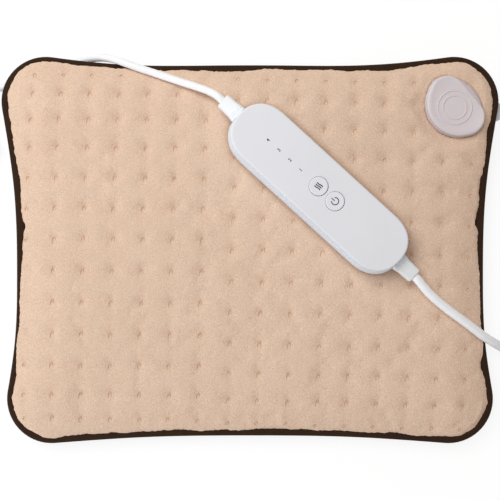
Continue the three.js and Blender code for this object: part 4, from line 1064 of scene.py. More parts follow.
@dataclass(frozen=True)
class Studio:
    """The camera straight above the pad, soft light from the upper left and a pale floor."""

    camera_height: float = 0.70
    half_view: float = 0.2932
    key_place: tuple[float, float, float] = (-0.58, 0.58, 1.17)
    key_size: float = 0.85
    key_power: float = 13.8
    key_colour: Colour = (0.965, 0.995, 1.0)
    fill_place: tuple[float, float, float] = (-0.75, -0.95, 0.25)
    fill_size: float = 0.45
    fill_power: float = 5.2
    fill_colour: Colour = (0.80, 0.90, 1.0)
    sky: float = 0.43
    sky_colour: Colour = (1.0, 0.95, 0.905)
    floor_size: float = 6.0
    paper: float = 0.82
    paper_glow: float = 1.07
    paper_share: float = 0.8

    def camera(self) -> Piece:
        """Makes the camera and lets the scene look through it."""
        data = bpy.data.cameras.new("camera")
        data.sensor_fit = "HORIZONTAL"
        data.angle = 2 * math.atan(self.half_view)
        data.clip_start = 0.01
        eye = add_object("camera", data)
        eye.location = (0, 0, self.camera_height)
        bpy.context.scene.camera = eye
        return eye

    def lights(self) -> None:
        """Makes the key lamp, a low fill lamp and the even light of the room."""
        self._lamp("key_lamp", self.key_place, self.key_size, self.key_power, self.key_colour)
        self._lamp("fill_lamp", self.fill_place, self.fill_size, self.fill_power, self.fill_colour)
        world = bpy.data.worlds.new("room")
        world.use_nodes = True
        tree = world.node_tree
        tree.nodes.clear()
        room = tree.nodes.new("ShaderNodeBackground")
        room.inputs["Color"].default_value = (*self.sky_colour, 1)
        room.inputs["Strength"].default_value = self.sky
        white = tree.nodes.new("ShaderNodeBackground")
        white.inputs["Color"].default_value = (1, 1, 1, 1)
        self._show(tree, "ShaderNodeOutputWorld", room, white, 1)
        bpy.context.scene.world = world

    @staticmethod
    def _lamp(name: str, place: tuple[float, float, float], size: float, power: float,
              colour: Colour) -> None:
        """Makes a soft square lamp that faces the pad's middle.

        Args:
            name: The lamp's name.
            place: Where it stands.
            size: Length of its side.
            power: Its power in watts.
            colour: Its colour.
        """
        data = bpy.data.lights.new(name, "AREA")
        data.energy = power
        data.size = size
        data.color = colour
        lamp = add_object(name, data)
        lamp.location = place
        lamp.rotation_euler = (-Vector(place)).to_track_quat("-Z", "Y").to_euler()

    @staticmethod
    def _show(tree: bpy.types.NodeTree, output: str, lit: Node, seen: Node,
              share: float) -> None:
        """Shows one shader on rays by which the backdrop is seen, also in gloss and through glass.

        Args:
            tree: The node tree to add to.
            output: Blender's name of its output node.
            lit: The shader on all other rays.
            seen: The shader on the rays by which it is seen.
            share: How much of the latter those rays get.
        """
        path = tree.nodes.new("ShaderNodeLightPath")
        factor = path.outputs["Is Camera Ray"]
        for name in ("Is Glossy Ray", "Is Transmission Ray"):
            both = tree.nodes.new("ShaderNodeMath")
            both.operation = "MAXIMUM"
            tree.links.new(factor, both.inputs[0])
            tree.links.new(path.outputs[name], both.inputs[1])
            factor = both.outputs[0]
        part = tree.nodes.new("ShaderNodeMath")
        part.operation = "MULTIPLY"
        part.inputs[1].default_value = share
        mix = tree.nodes.new("ShaderNodeMixShader")
        tree.links.new(factor, part.inputs[0])
        tree.links.new(part.outputs[0], mix.inputs["Fac"])
        tree.links.new(lit.outputs[0], mix.inputs[1])
        tree.links.new(seen.outputs[0], mix.inputs[2])
        tree.links.new(mix.outputs[0], tree.nodes.new(output).inputs["Surface"])

    def floor(self) -> None:
        """Makes the pale floor, which keeps the object's shadow."""
        bm = bmesh.new()
        bmesh.ops.create_grid(bm, x_segments=4, y_segments=4, size=self.floor_size / 2)
        mesh = mesh_of(bm, "floor")
        material = bpy.data.materials.new("floor_paper")
        material.use_nodes = True
        tree = material.node_tree
        tree.nodes.clear()
        paper = tree.nodes.new("ShaderNodeBsdfDiffuse")
        paper.inputs["Color"].default_value = (self.paper, self.paper, self.paper, 1)
        glow = tree.nodes.new("ShaderNodeEmission")
        glow.inputs["Strength"].default_value = self.paper_glow
        self._show(tree, "ShaderNodeOutputMaterial", paper, glow, self.paper_share)
        mesh.materials.append(material)
        add_object("floor", mesh)


# Leads


def smooth_route(points: Sequence[Vector], spacing: float) -> Ring:
    """Follows chosen points on one smooth centripetal curve.

    Args:
        points: The points, in order.
        spacing: Distance between the points to give back.

    Returns:
        Even points along the curve.
    """
    ends = [points[0] * 2 - points[1], *points, points[-1] * 2 - points[-2]]
    fine: Ring = []
    for a, b, c, d in zip(ends, ends[1:], ends[2:], ends[3:]):
        t1 = math.sqrt((b - a).length)
        t2 = t1 + math.sqrt((c - b).length)
        t3 = t2 + math.sqrt((d - c).length)
        steps = max(4, int((c - b).length / spacing * 4))
        for i in range(steps):
            t = t1 + (t2 - t1) * i / steps
            ab = a * ((t1 - t) / t1) + b * (t / t1)
            bc = b * ((t2 - t) / (t2 - t1)) + c * ((t - t1) / (t2 - t1))
            cd = c * ((t3 - t) / (t3 - t2)) + d * ((t - t2) / (t3 - t2))
            abc = ab * ((t2 - t) / t2) + bc * (t / t2)
            bcd = bc * ((t3 - t) / (t3 - t1)) + cd * ((t - t1) / (t3 - t1))
            fine.append(abc * ((t2 - t) / (t2 - t1)) + bcd * ((t - t1) / (t2 - t1)))
    fine.append(points[-1].copy())
    return even_points(fine, spacing)


def even_points(line: Sequence[Vector], spacing: float) -> Ring:
    """Spaces points evenly along a line, keeping both ends."""
    path = np.array([tuple(p) for p in line])
    reach = np.concatenate([[0], np.cumsum(np.linalg.norm(np.diff(path, axis=0), axis=1))])
    count = max(2, round(reach[-1] / spacing))
    at = np.linspace(0, reach[-1], count + 1)
    return [Vector(row) for row in np.column_stack([np.interp(at, reach, path[:, k]) for k in range(3)])]


def millimetres(*points: tuple[float, float, float]) -> Ring:
    """Points given in millimetres, as vectors in metres."""
    return [Vector(p) * MM for p in points]


@dataclass
class Leads:
    """Both leads of the controller, each a cord on its own route."""

    handset: HandsetPlan
    relief_end: float = 101.17 * MM
    mains_start: float = 6 * MM
    pad_start: float = 3 * MM
    plug_start: float = 6 * MM
    pad_diameter: float = 7.2 * MM
    mains_diameter: float = 6.2 * MM
    spacing: float = 2.2 * MM
    coil_x: float = -260 * MM
    coil_y: float = 84.6 * MM
    coil_radius: float = 48 * MM
    coil_pitch: float = 7.6 * MM
    coil_layer: float = 7 * MM
    coil_lift: float = 1.3 * MM
    lower_turns: float = 3
    climb_turns: float = 0.5
    upper_turns: float = 2.8333
    turn_steps: int = 90
    tail_reach: float = 42 * MM
    tail_height: float = 6.95 * MM
    pad_socket_end: Vector = field(default_factory=lambda: Vector((224.1, 112.7, 4.1)) * MM)

    @property
    def coil_floor(self) -> float:
        """Height of the lower layer's axis."""
        return self.mains_diameter / 2 + self.coil_lift

    @property
    def coil_inner(self) -> float:
        """Radius of the inmost turn."""
        return self.coil_radius - self.coil_pitch * self.lower_turns

    @property
    def coil_turns(self) -> float:
        """Turns of the whole coil."""
        return self.lower_turns + self.climb_turns + self.upper_turns

    def coil_point(self, turns: float) -> Vector:
        """A point of the coil: inwards below, up a layer, outwards on top.

        Args:
            turns: Turns from the coil's start.

        Returns:
            The point on the cord's axis.
        """
        radius, z = self.coil_radius - self.coil_pitch * turns, self.coil_floor
        if turns > self.lower_turns:
            over = turns - self.lower_turns
            radius = self.coil_inner + self.coil_pitch * max(over - self.climb_turns, 0)
            z += self.coil_layer * min(over / self.climb_turns, 1)
        a = math.pi / 2 + 2 * math.pi * turns
        return Vector((self.coil_x + radius * math.cos(a), self.coil_y + radius * math.sin(a), z))

    @property
    def tail_heading(self) -> Vector:
        """The way the cord leaves the coil."""
        a = math.pi / 2 + 2 * math.pi * (self.coil_turns % 1)
        return Vector((-math.sin(a), math.cos(a), 0))

    @property
    def tail_start(self) -> Vector:
        """Where the cord's straight tail starts."""
        return self.coil_point(self.coil_turns) + self.tail_heading * (self.mains_diameter + GAP)

    @property
    def tail_end(self) -> Vector:
        """Where the cord enters the plug's relief."""
        end = self.tail_start + self.tail_heading * self.tail_reach
        return Vector((end.x, end.y, self.tail_height))

    def mains_route(self) -> Ring:
        """The mains lead from the controller over the top edge, through the coil, to the plug."""
        way = [self.handset.lead_end(-1, self.relief_end + GAP),
               self.handset.lead_end(-1, self.relief_end + self.mains_start)]
        way += millimetres(
            (-34, 125.2, 31), (-43, 128.7, 28.8), (-52, 131.9, 26.6), (-66, 137, 23.9), (-77, 141, 22),
            (-87, 144.5, 20.7), (-97, 148.2, 19.7), (-106, 151.6, 17.9), (-115, 154.3, 14.6),
            (-124, 155.4, 10.2), (-133, 155, 6.2), (-142, 153, 3.9), (-152, 150.2, 3.2), (-164, 148, 3.2),
            (-172.8, 146.8, 3.2), (-179.2, 144.2, 3.2), (-184.6, 140.1, 3.2), (-193.1, 134.8, 3.2),
            (-203.1, 132.7, 3.2), (-215, 132.6, 3.4), (-230, 132.6, 3.9), (-244, 132.6, 4.4),
            (-253.4, 132.6, 4.4))
        steps = round(self.coil_turns * self.turn_steps)
        coil = [self.coil_point(self.coil_turns * i / steps) for i in range(steps + 1)]
        # Share of the tail's length and share of its fall to the floor
        fall = [(0, 0), (0.14, 0), (0.36, 0.3), (0.58, 0.76), (0.84, 1), (1, 1)]
        tail = []
        for t, drop in fall:
            place = self.tail_start.lerp(self.tail_end, t)
            place.z = self.tail_start.z + (self.tail_end.z - self.tail_start.z) * drop
            tail.append(place)
        line = smooth_route(way, self.spacing) + coil + smooth_route(tail, self.spacing)
        return even_points(line, self.spacing)

    def pad_route(self) -> Ring:
        """The pad lead from the controller over the right side and back under it to the socket."""
        end = self.pad_socket_end
        way = [self.handset.lead_end(1, self.relief_end + GAP),
               self.handset.lead_end(1, self.relief_end + self.pad_start)]
        way += millimetres(
            (134.6, -27.4, 33.4), (140.7, -34.2, 32.1), (147.2, -40, 30.8), (153.6, -45.1, 29.7),
            (160, -49.9, 28.7), (166.6, -54.5, 27.6), (173.2, -59.3, 26), (179.8, -64.3, 24.1),
            (186.4, -69, 21.7), (193.8, -73.4, 18), (202.5, -78.2, 12.6), (212, -83, 7.4), (222, -86.8, 4.5),
            (233, -88.6, 3.8), (244.5, -87.2, 3.7), (255.5, -80.8, 3.7), (263, -71, 3.7), (266, -58, 3.7),
            (266, -30, 3.7), (266, 0, 3.7), (266, 30, 3.7), (266, 62, 3.7), (265.4, 84, 3.7),
            (261, 97.5, 3.7), (253, 107, 3.8), (242, 111.4, 4))
        way += [end + Vector((self.plug_start, 0, 0)), end]
        return smooth_route(way, self.spacing)

    def _cord(self, name: str, line: Ring, diameter: float, nodes: Sequence[str]) -> Piece:
        """Makes a round cord along a line.

        Args:
            name: The piece's name.
            line: Points along its axis.
            diameter: Its diameter.
            nodes: Frame nodes that it stands for.

        Returns:
            The cord, a curve of one open spline.
        """
        curve = bpy.data.curves.new(name, "CURVE")
        curve.dimensions = "3D"
        curve.bevel_depth = diameter / 2
        curve.bevel_resolution = 4
        curve.use_fill_caps = True
        spline = curve.splines.new("POLY")
        spline.points.add(len(line) - 1)
        for point, place in zip(spline.points, line):
            point.co = (*place, 1)
        spline.use_smooth = True
        curve.materials.append(Palette.CORD.material)
        return ride_piece(add_object(name, curve), Body.PAD, nodes)

    def build(self) -> None:
        """Makes both cords."""
        self.pad_line = self.pad_route()
        self.pad_cord = self._cord("pad_cord", self.pad_line, self.pad_diameter, ["pad_lead"])
        self.mains_line = self.mains_route()
        self.mains_cord = self._cord("mains_cord", self.mains_line, self.mains_diameter,
                                     ["mains_lead", "mains_lead_coil", "mains_lead_tail"])


# Pad


@dataclass(frozen=True)
class TuftGrid:
    """Where the front is sewn down: two panels of rows, the left one sewn higher than the right."""

    columns: int = 16
    rows: int = 13
    left_columns: int = 7
    pitch_x: float = 23.8 * MM
    pitch_y: float = 24.8 * MM
    squeeze_x: float = 0.012
    squeeze_y: float = 0.079
    shift_x: float = -2.4 * MM
    lean: float = 4.5 * MM
    pinch: float = 2.7 * MM
    left_raise: float = 8.2 * MM
    left_tilt: float = -1.7 * MM
    left_bow: float = -5.5 * MM
    right_raise: float = 0.5 * MM
    right_tilt: float = -5 * MM
    stray: float = 0.9 * MM

    def place(self, i: int, j: int) -> Vector:
        """One tuft's place from above, a little off the true grid as sewing is.

        Args:
            i: Its column, from the left.
            j: Its row, from the bottom.

        Returns:
            The place.
        """
        n = (i - (self.columns - 1) / 2) / ((self.columns - 1) / 2)
        m = (j - (self.rows - 1) / 2) / ((self.rows - 1) / 2)
        x = self.pitch_x * (self.columns - 1) / 2 * n * (1 - self.squeeze_x * n**2)
        y = self.pitch_y * (self.rows - 1) / 2 * m * (1 - self.squeeze_y * m**4)
        x += self.shift_x + self.lean * m - self.pinch * n * m * m
        if i < self.left_columns:
            y += self.left_raise + self.left_tilt * n + self.left_bow * m * m
        else:
            y += self.right_raise + self.right_tilt * n
        stray = noise.noise_vector(Vector((i * 1.7 + 0.3, j * 2.3 + 0.7, 0.5)))
        return Vector((x + stray.x * self.stray, y + stray.y * self.stray))

    def places(self) -> list[Vector]:
        """Every tuft's place, row by row."""
        return [self.place(i, j) for j in range(self.rows) for i in range(self.columns)]


@dataclass(frozen=True)
class BarePlace:
    """A place at the edge where the pile is drawn back from the tape, in millimetres."""

    x: float
    y: float
    spread: float
    most: float

    def depth(self, x: float, y: float) -> float:
        """How much more of the tape shows near a place."""
        return self.most * math.exp(-((x - self.x) ** 2 + (y - self.y) ** 2) / self.spread**2)


@dataclass(frozen=True)
class PileEdge:
    """Where the pile ends, by the width of tape that it leaves in sight, in millimetres."""

    top: float = 4.4
    bottom: float = 5.6
    side: float = 5.6
    low_side: float = 2.5
    side_from: float = 170
    side_to: float = 184
    low_middle: float = -48
    low_half: float = 45
    calm: float = 0.6
    waves: tuple[tuple[float, float, float], ...] = ((1 / 21, 6.0, 1.5), (1 / 8, 3.0, 0.6))
    bare: tuple[BarePlace, ...] = (
        BarePlace(-181, 19, 3.4, 2.6), BarePlace(180, 21.5, 3.6, 2.6), BarePlace(180, 29, 10, 1.5),
        BarePlace(181, -93, 8, 2.6), BarePlace(105, 146, 19, 2.4), BarePlace(-28, 145, 15, 1.0))

    def shown(self, place: np.ndarray) -> float:
        """The width of tape in sight near a place.

        Args:
            place: x and y of a place near the edge, in metres.

        Returns:
            The width in metres.
        """
        x, y = place / MM
        sideways = smoothstep(self.side_from, self.side_to, abs(x))
        end = self.top if y > 0 else self.bottom
        low = math.exp(-(((y - self.low_middle) / self.low_half) ** 4))
        side = self.side - (self.side - self.low_side) * low
        wave = layered_noise((x, y), self.waves) * (1 - self.calm * low * sideways)
        drawn = sum(bare.depth(x, y) for bare in self.bare)
        return (end + (side - end) * sideways + wave + drawn) * MM


@dataclass(frozen=True)
class TuftStitch:
    """The small oval stitch in a tuft, half sunk in the pile. Its angles are degrees."""

    half_width: float = 1.3 * MM
    half_height: float = 3.0 * MM
    thread: float = 0.3 * MM
    rise: float = 0.05 * MM
    width_stray: float = 0.2
    height_stray: float = 0.25
    least_height: float = 0.4
    lean: float = -5
    lean_stray: float = 16
    tip: float = 9
    roll: float = 7
    stray_scale: float = 90
    sides: int = 5
    steps: int = 12

    def add(self, bm: BMesh, spot: Vector, normal: Vector, full: float) -> None:
        """Adds one stitch.

        Args:
            bm: The mesh to add to.
            spot: Middle of the tuft, on the pile.
            normal: The way the pile faces there.
            full: Share of its full height, which it loses towards the edge.
        """
        stray = noise.noise_vector(spot * self.stray_scale)
        half_width = self.half_width * (1 + self.width_stray * stray.x)
        half_height = self.half_height * (1 + self.height_stray * stray.y)
        half_height *= self.least_height + (1 - self.least_height) * full
        before = set(bm.verts)
        circle = bmesh.ops.create_circle(
            bm, cap_ends=False, radius=self.thread, segments=self.sides,
            matrix=Matrix.Translation((half_width, 0, 0)) @ Matrix.Rotation(math.pi / 2, 4, "X"))["verts"]
        edges = list({e for v in circle for e in v.link_edges})
        bmesh.ops.spin(bm, geom=circle + edges, cent=(0, 0, 0), axis=(0, 0, 1), angle=2 * math.pi,
                       steps=self.steps, use_merge=True, use_duplicate=False)
        fresh = [v for v in bm.verts if v not in before]
        bmesh.ops.scale(bm, vec=(1, half_height / half_width, 1), verts=fresh)
        tilt = Vector((0, 0, 1)).rotation_difference(normal).to_matrix().to_4x4()
        for angle, axis in ((self.lean + self.lean_stray * stray.z, "Z"), (self.tip, "X"), (self.roll, "Y")):
            tilt @= Matrix.Rotation(math.radians(angle), 4, axis)
        bmesh.ops.transform(bm, matrix=Matrix.Translation(spot + normal * self.rise) @ tilt, verts=fresh)
        bmesh.ops.recalc_face_normals(bm, faces=list({f for v in fresh for f in v.link_faces}))


@dataclass
class Pad:
    """The quilted pad: front, back and the tape that binds them."""

    plan: PadPlan
    handset: HandsetPlan
    tufts: TuftGrid = field(default_factory=TuftGrid)
    stitch: TuftStitch = field(default_factory=TuftStitch)
    pile_edge: PileEdge = field(default_factory=PileEdge)
    columns: int = 130
    rows: int = 100
    edge_inset: float = 8.6 * MM
    body_inset: float = 7.4 * MM
    crown_height: float = 25 * MM
    crown_reach: float = 45 * MM
    crown_power: float = 2.2
    edge_rise: float = 6.0 * MM
    front_floor: float = 13.9 * MM
    tuft_depth: float = 1.3 * MM
    tuft_radius: float = 3.4 * MM
    tuft_shape: tuple[float, float] = (1.1, 0.92)
    tuft_power: float = 1.5
    tuft_span: float = 4
    draw_middle: float = 0.81
    draw_side: float = 0.37
    draw_top: float = 0.6
    draw_least: float = 0.25
    draw_edge: float = 26 * MM
    hollow_depth: float = 0.5 * MM
    hollow_radius: float = 7.5 * MM
    swell: float = 0.5 * MM
    settle_frames: int = 20
    held_pull: float = 0.72
    held_edge: float = 0.2 * MM
    fine_nap: tuple[float, float] = (210, 0.16 * MM)
    broad_nap: tuple[float, float] = (95, 0.10 * MM)
    # Painted shade in the pile's colour: how far the shade at each stitch sits off it, towards the dimple's
    # shaded upper wall; its radius; its strength, more where the front is drawn tighter; and the painted
    # contact shadow round the controller, with its fade
    shade_offset: tuple[float, float] = (0.3 * MM, -1.6 * MM)
    dimple_radius: float = 3.0 * MM
    dimple_shade: float = 0.22
    dimple_shade_draw: float = 0.14
    rest_shadow: float = 1.7
    rest_shadow_fade: float = 1.7 * MM
    rest_band: tuple[float, float] = (-7 * MM, -0.5 * MM)
    rags: tuple[tuple[float, float, float], ...] = ((300, 1.0, 1.0), (760, 2.0, 0.7))
    stitch_drop: float = 2.0 * MM
    stitch_least: float = 1.2 * MM
    stitch_fade: tuple[float, float] = (2 * MM, 20 * MM)
    stitch_clear: float = 6 * MM
    above: float = 100 * MM
    tape_width: float = 7 * MM
    tape_height: float = 8 * MM
    tape_round: float = 3 * MM
    tape_fold: float = 1.3 * MM
    tape_lip: float = 0.3 * MM
    tape_soft: float = 0.4 * MM
    tape_bow: float = 0.12 * MM
    tape_bow_place: float = 0.72
    tape_core: float = 2.6 * MM
    tape_wave: tuple[float, float, float] = (55, 2.0, 0.12 * MM)
    seam_pitch: float = 4.2 * MM
    seam_inset: float = 5.3 * MM
    seam_thread: float = 0.32 * MM
    seam_shape: tuple[float, float, float] = (4.4, 1, 0.75)
    under_reach: float = 40 * MM
    under_power: float = 1.35
    under_wave: tuple[float, float, float] = (26, 4.0, 0.35 * MM)
    under_dip: float = 0.2 * MM
    back_roof: float = 11.1 * MM
    socket_seat: float = 15.5 * MM
    socket_level: float = 20.4 * MM
    socket_draw: float = 13 * MM
    seat_grow: float = 0.7 * MM
    seat_rim: tuple[float, float] = (-0.4 * MM, 0.9 * MM)
    pocket_roof: float = 9.9 * MM
    pocket_grow: float = 2.2 * MM
    plug_way: float = 30 * MM
    plug_rim: tuple[float, float] = (-0.4 * MM, 1.2 * MM)
    plug_rise: float = 0.1 * MM

    def sheet(self, inset: float) -> BMesh:
        """A flat sheet of even cells, cut to the pad's outline.

        Args:
            inset: How far its edge lies inside the pad's.

        Returns:
            The sheet at height 0.
        """
        bm = bmesh.new()
        bmesh.ops.create_grid(bm, x_segments=self.columns, y_segments=self.rows, size=1)
        bottom, right, top, left = self.plan.side_curves(inset, self.columns, self.rows)
        for vert in bm.verts:
            u, v = (vert.co.x + 1) / 2, (vert.co.y + 1) / 2
            i, j = round(u * self.columns), round(v * self.rows)
            place = (1 - v) * bottom[i] + v * top[i] + (1 - u) * left[j] + u * right[j]
            place = place - ((1 - u) * (1 - v) * bottom[0] + u * (1 - v) * bottom[-1]
                             + (1 - u) * v * top[0] + u * v * top[-1])
            vert.co = (*place, 0)
        return bm

    def crown(self, distance: np.ndarray) -> np.ndarray:
        """Height of the front before it is sewn down, by distance from the edge."""
        t = np.clip((distance - self.body_inset) / (self.crown_reach - self.body_inset), 0, 1)
        edge = SEAM_HEIGHT + self.edge_rise
        return edge + (self.crown_height - edge) * (1 - (1 - t) ** self.crown_power)

    def pits(self, places: np.ndarray, radius: float) -> np.ndarray:
        """How strongly each place is drawn down by the nearest tufts, from 0 to 1.

        Args:
            places: Rows of x and y.
            radius: Radius of a tuft's pull.

        Returns:
            One share for each place.
        """
        pull = np.zeros(len(places))
        for tuft in self.tufts.places():
            away = np.linalg.norm((places - tuft) * self.tuft_shape, axis=1) / radius
            near = away < self.tuft_span
            pull[near] = np.maximum(pull[near], np.exp(-(away[near] ** self.tuft_power)))
        return pull

    def draw(self, places: np.ndarray) -> np.ndarray:
        """How tightly the front is sewn down at each place, tighter towards the top and the sides.

        Args:
            places: Rows of x and y.

        Returns:
            One factor for each place.
        """
        across, up = 2 * places[:, 0] / self.plan.top_width, 2 * places[:, 1] / self.plan.depth
        tight = self.draw_middle + self.draw_side * np.abs(across) + self.draw_top * up
        edge = smoothstep(self.body_inset, self.draw_edge, self.plan.distance(places))
        return np.maximum(tight, self.draw_least) * edge

    def settle(self, piece: Piece, sewn: Sequence[int], cap: float) -> None:
        """Lets the cloth swell and pucker between its stitches, and keeps the result.

        Args:
            piece: The sheet, already in its rough form.
            sewn: Vertices that stay where they are.
            cap: The furthest that a point may move.
        """
        before = read_points(piece.data)
        group = piece.vertex_groups.new(name="sewn")
        group.add(list(sewn), 1.0, "REPLACE")
        cloth = piece.modifiers.new("settle", "CLOTH")
        rules = cloth.settings
        rules.quality = 5
        rules.mass = 0.12
        rules.tension_stiffness = 18
        rules.compression_stiffness = 18
        rules.shear_stiffness = 6
        rules.bending_stiffness = 0.5
        rules.shrink_min = -0.008
        rules.vertex_group_mass = "sewn"
        rules.use_pressure = True
        rules.uniform_pressure_force = 1.2
        rules.effector_weights.gravity = 0
        cloth.collision_settings.use_collision = False
        scene = bpy.context.scene
        for number in range(1, self.settle_frames + 1):
            scene.frame_set(number)
        result = piece.evaluated_get(bpy.context.evaluated_depsgraph_get())
        after = read_points(result.data)
        piece.modifiers.remove(cloth)
        piece.vertex_groups.remove(group)
        scene.frame_set(1)
        moved = after - before
        length = np.linalg.norm(moved, axis=1, keepdims=True)
        moved *= np.minimum(1, cap / np.maximum(length, 1e-9))
        write_points(piece.data, before + moved)

    def in_handset(self, bm: BMesh) -> np.ndarray:
        """How far inside the controller's outline each vertex lies, negative outside it."""
        to_handset = self.handset.place.inverted()
        local = np.array([(to_handset @ v.co)[:2] for v in bm.verts])
        return polygon_distance(np.array(self.handset.outline(0)), local)

    def front(self) -> Piece:
        """Makes the quilted front."""
        mesh = mesh_of(self.sheet(self.edge_inset), "fleece_rough")
        points = read_points(mesh)
        flat = points[:, :2].copy()
        distance = self.plan.distance(flat)
        pull = self.pits(flat, self.tuft_radius)
        points[:, 2] = self.crown(distance) - self.tuft_depth * self.draw(flat) * pull
        write_points(mesh, points)
        rough = add_object("fleece_rough", mesh)
        held = np.where((pull > self.held_pull) | (distance < self.edge_inset + self.held_edge))[0]
        self.settle(rough, [int(i) for i in held], self.swell)
        fine = subdivided(rough, 1)
        bpy.data.objects.remove(rough)
        points = read_points(fine)
        flat = points[:, :2]
        points[:, 2] -= self.hollow_depth * self.draw(flat) * self.pits(flat, self.hollow_radius)
        write_points(fine, points)
        bm = bmesh.new()
        bm.from_mesh(fine)
        bpy.data.meshes.remove(fine)
        self.press_down(bm)
        self.roll_edge(bm)
        self.lift_pile(bm)
        self.paint_shade(bm)
        piece = place_piece(bm, "fleece_front", Palette.FLEECE, ["front_cover"], crease=80)
        self.surface = BVHTree.FromObject(piece, bpy.context.evaluated_depsgraph_get())
        return piece

    def press_down(self, bm: BMesh) -> None:
        """Presses the front down under the socket's cover and the controller.

        Args:
            bm: The front, without its rolled edge.
        """
        flat = np.array([v.co[:2] for v in bm.verts])
        in_seat = polygon_distance(SOCKET_COVER.placed(self.seat_grow, True), flat)
        seat = smoothstep(*self.seat_rim, in_seat)
        drawn = smoothstep(-self.socket_draw, 0, in_seat)
        roof = self.handset.floor - GAP
        rest = smoothstep(*self.rest_band, self.in_handset(bm))
        for i, vert in enumerate(bm.verts):
            vert.co.z -= max(vert.co.z - roof, 0) * rest[i]
            vert.co.z -= max(vert.co.z - self.socket_level, 0) * drawn[i]
            vert.co.z += (self.socket_seat - vert.co.z) * seat[i]

    def tape_sway(self, place: Sequence[float]) -> float:
        """How far the tape's surface rises or falls at a place, as sewn tape does."""
        return layered_noise(place, [self.tape_wave])

    def roll_edge(self, bm: BMesh) -> None:
        """Rolls the front's edge over the tape, ragged as pile is, and closes it underneath.

        Args:
            bm: The front's upper sheet.
        """
        loop = boundary_loop(next(e for e in bm.edges if e.is_boundary))
        flat = np.array([v.co[:2] for v in loop])
        ahead = np.roll(flat, -1, axis=0) - np.roll(flat, 1, axis=0)
        out = np.column_stack([ahead[:, 1], -ahead[:, 0]])
        out /= np.linalg.norm(out, axis=1, keepdims=True)
        if np.sum((flat + out * MM) ** 2) < np.sum(flat**2):
            out = -out
        start = [v.co.z for v in loop]
        reach = [self.edge_inset - self.pile_edge.shown(place) for place in flat]
        tape_top = SEAM_HEIGHT + self.tape_height / 2 + self.tape_bow
        # Share of the reach, share of the fall to the tape, height left over the tape, raggedness
        steps = [(0.35, 0.23, 0.0, 0.05), (0.68, 0.51, 0.0, 0.15), (0.90, 0.79, 0.0, 0.40),
                 (1.0, 1.0, 0.34, 0.55), (0.93, 1.0, 0.10, 0.40), (0.25, 1.0, 0.09, 0.0),
                 (0.08, 1.0, -1.6, 0.0)]
        for share, fall, over, ragged in steps:
            ring = []
            for place, way, span, top in zip(flat, out, reach, start):
                spot = place + way * (span * share + ragged * layered_noise(place, self.rags) * MM)
                level = tape_top + over * MM + self.tape_sway(spot)
                ring.append(Vector((*spot, top + (level - top) * fall)))
            loop = grow_loop(bm, loop, ring)
        loop = grow_loop(bm, loop, [Vector((v.co.x, v.co.y, self.front_floor)) for v in loop])
        cap_loop(bm, loop)
        bmesh.ops.recalc_face_normals(bm, faces=bm.faces)

    def lift_pile(self, bm: BMesh) -> None:
        """Gives the upper side the soft unevenness of brushed pile.

        Args:
            bm: The closed front.
        """
        bm.normal_update()
        (fine, fine_lift), (broad, broad_lift), aside = self.fine_nap, self.broad_nap, Vector((3, 1, 2))
        moves = []
        for vert in bm.verts:
            p = vert.co
            lift = fine_lift * noise.noise(p * fine) + broad_lift * noise.noise(p * broad + aside)
            moves.append(vert.normal * lift if p.z >= self.front_floor + 2 * MM else Vector())
        for vert, move in zip(bm.verts, moves):
            vert.co += move

    def paint_shade(self, bm: BMesh) -> None:
        """Paints shade into the pile's colour: shade a little above each stitch, where its dimple's upper
        wall lies in shade, and a contact shadow round the controller.

        Args:
            bm: The closed front.
        """
        layer = bm.verts.layers.float.new("painted_shade")
        flat = np.array([v.co[:2] for v in bm.verts])
        tone = self.dimple_shade + self.dimple_shade_draw * self.draw(flat)
        # Painted dimple shade, set off from each stitch
        sewn = tone * self.pits(flat + self.shade_offset, self.dimple_radius)
        # Painted contact shadow, fading out from the controller's outline
        painted_shade = self.rest_shadow * np.exp(-np.maximum(-self.in_handset(bm), 0) / self.rest_shadow_fade)
        for vert, share in zip(bm.verts, np.maximum(sewn, painted_shade)):
            vert[layer] = float(share)

    def tuft_rings(self) -> Piece:
        """Makes the small oval stitch in each tuft."""
        bm = bmesh.new()
        places = np.array([tuple(p) for p in self.tufts.places()])
        hidden = polygon_distance(SOCKET_COVER.placed(self.stitch_clear, True), places) > 0
        inside = self.plan.distance(places) - self.body_inset
        for (x, y), under_socket, depth in zip(places, hidden, inside):
            if under_socket or depth < self.stitch_least:
                continue
            above = Vector((x, y - self.stitch_drop, self.above))
            spot, normal, _, _ = self.surface.ray_cast(above, Vector((0, 0, -1)))
            if spot is not None:
                self.stitch.add(bm, spot, normal, float(smoothstep(*self.stitch_fade, depth)))
        return place_piece(bm, "tuft_stitches", Palette.TUFT_THREAD, crease=80)

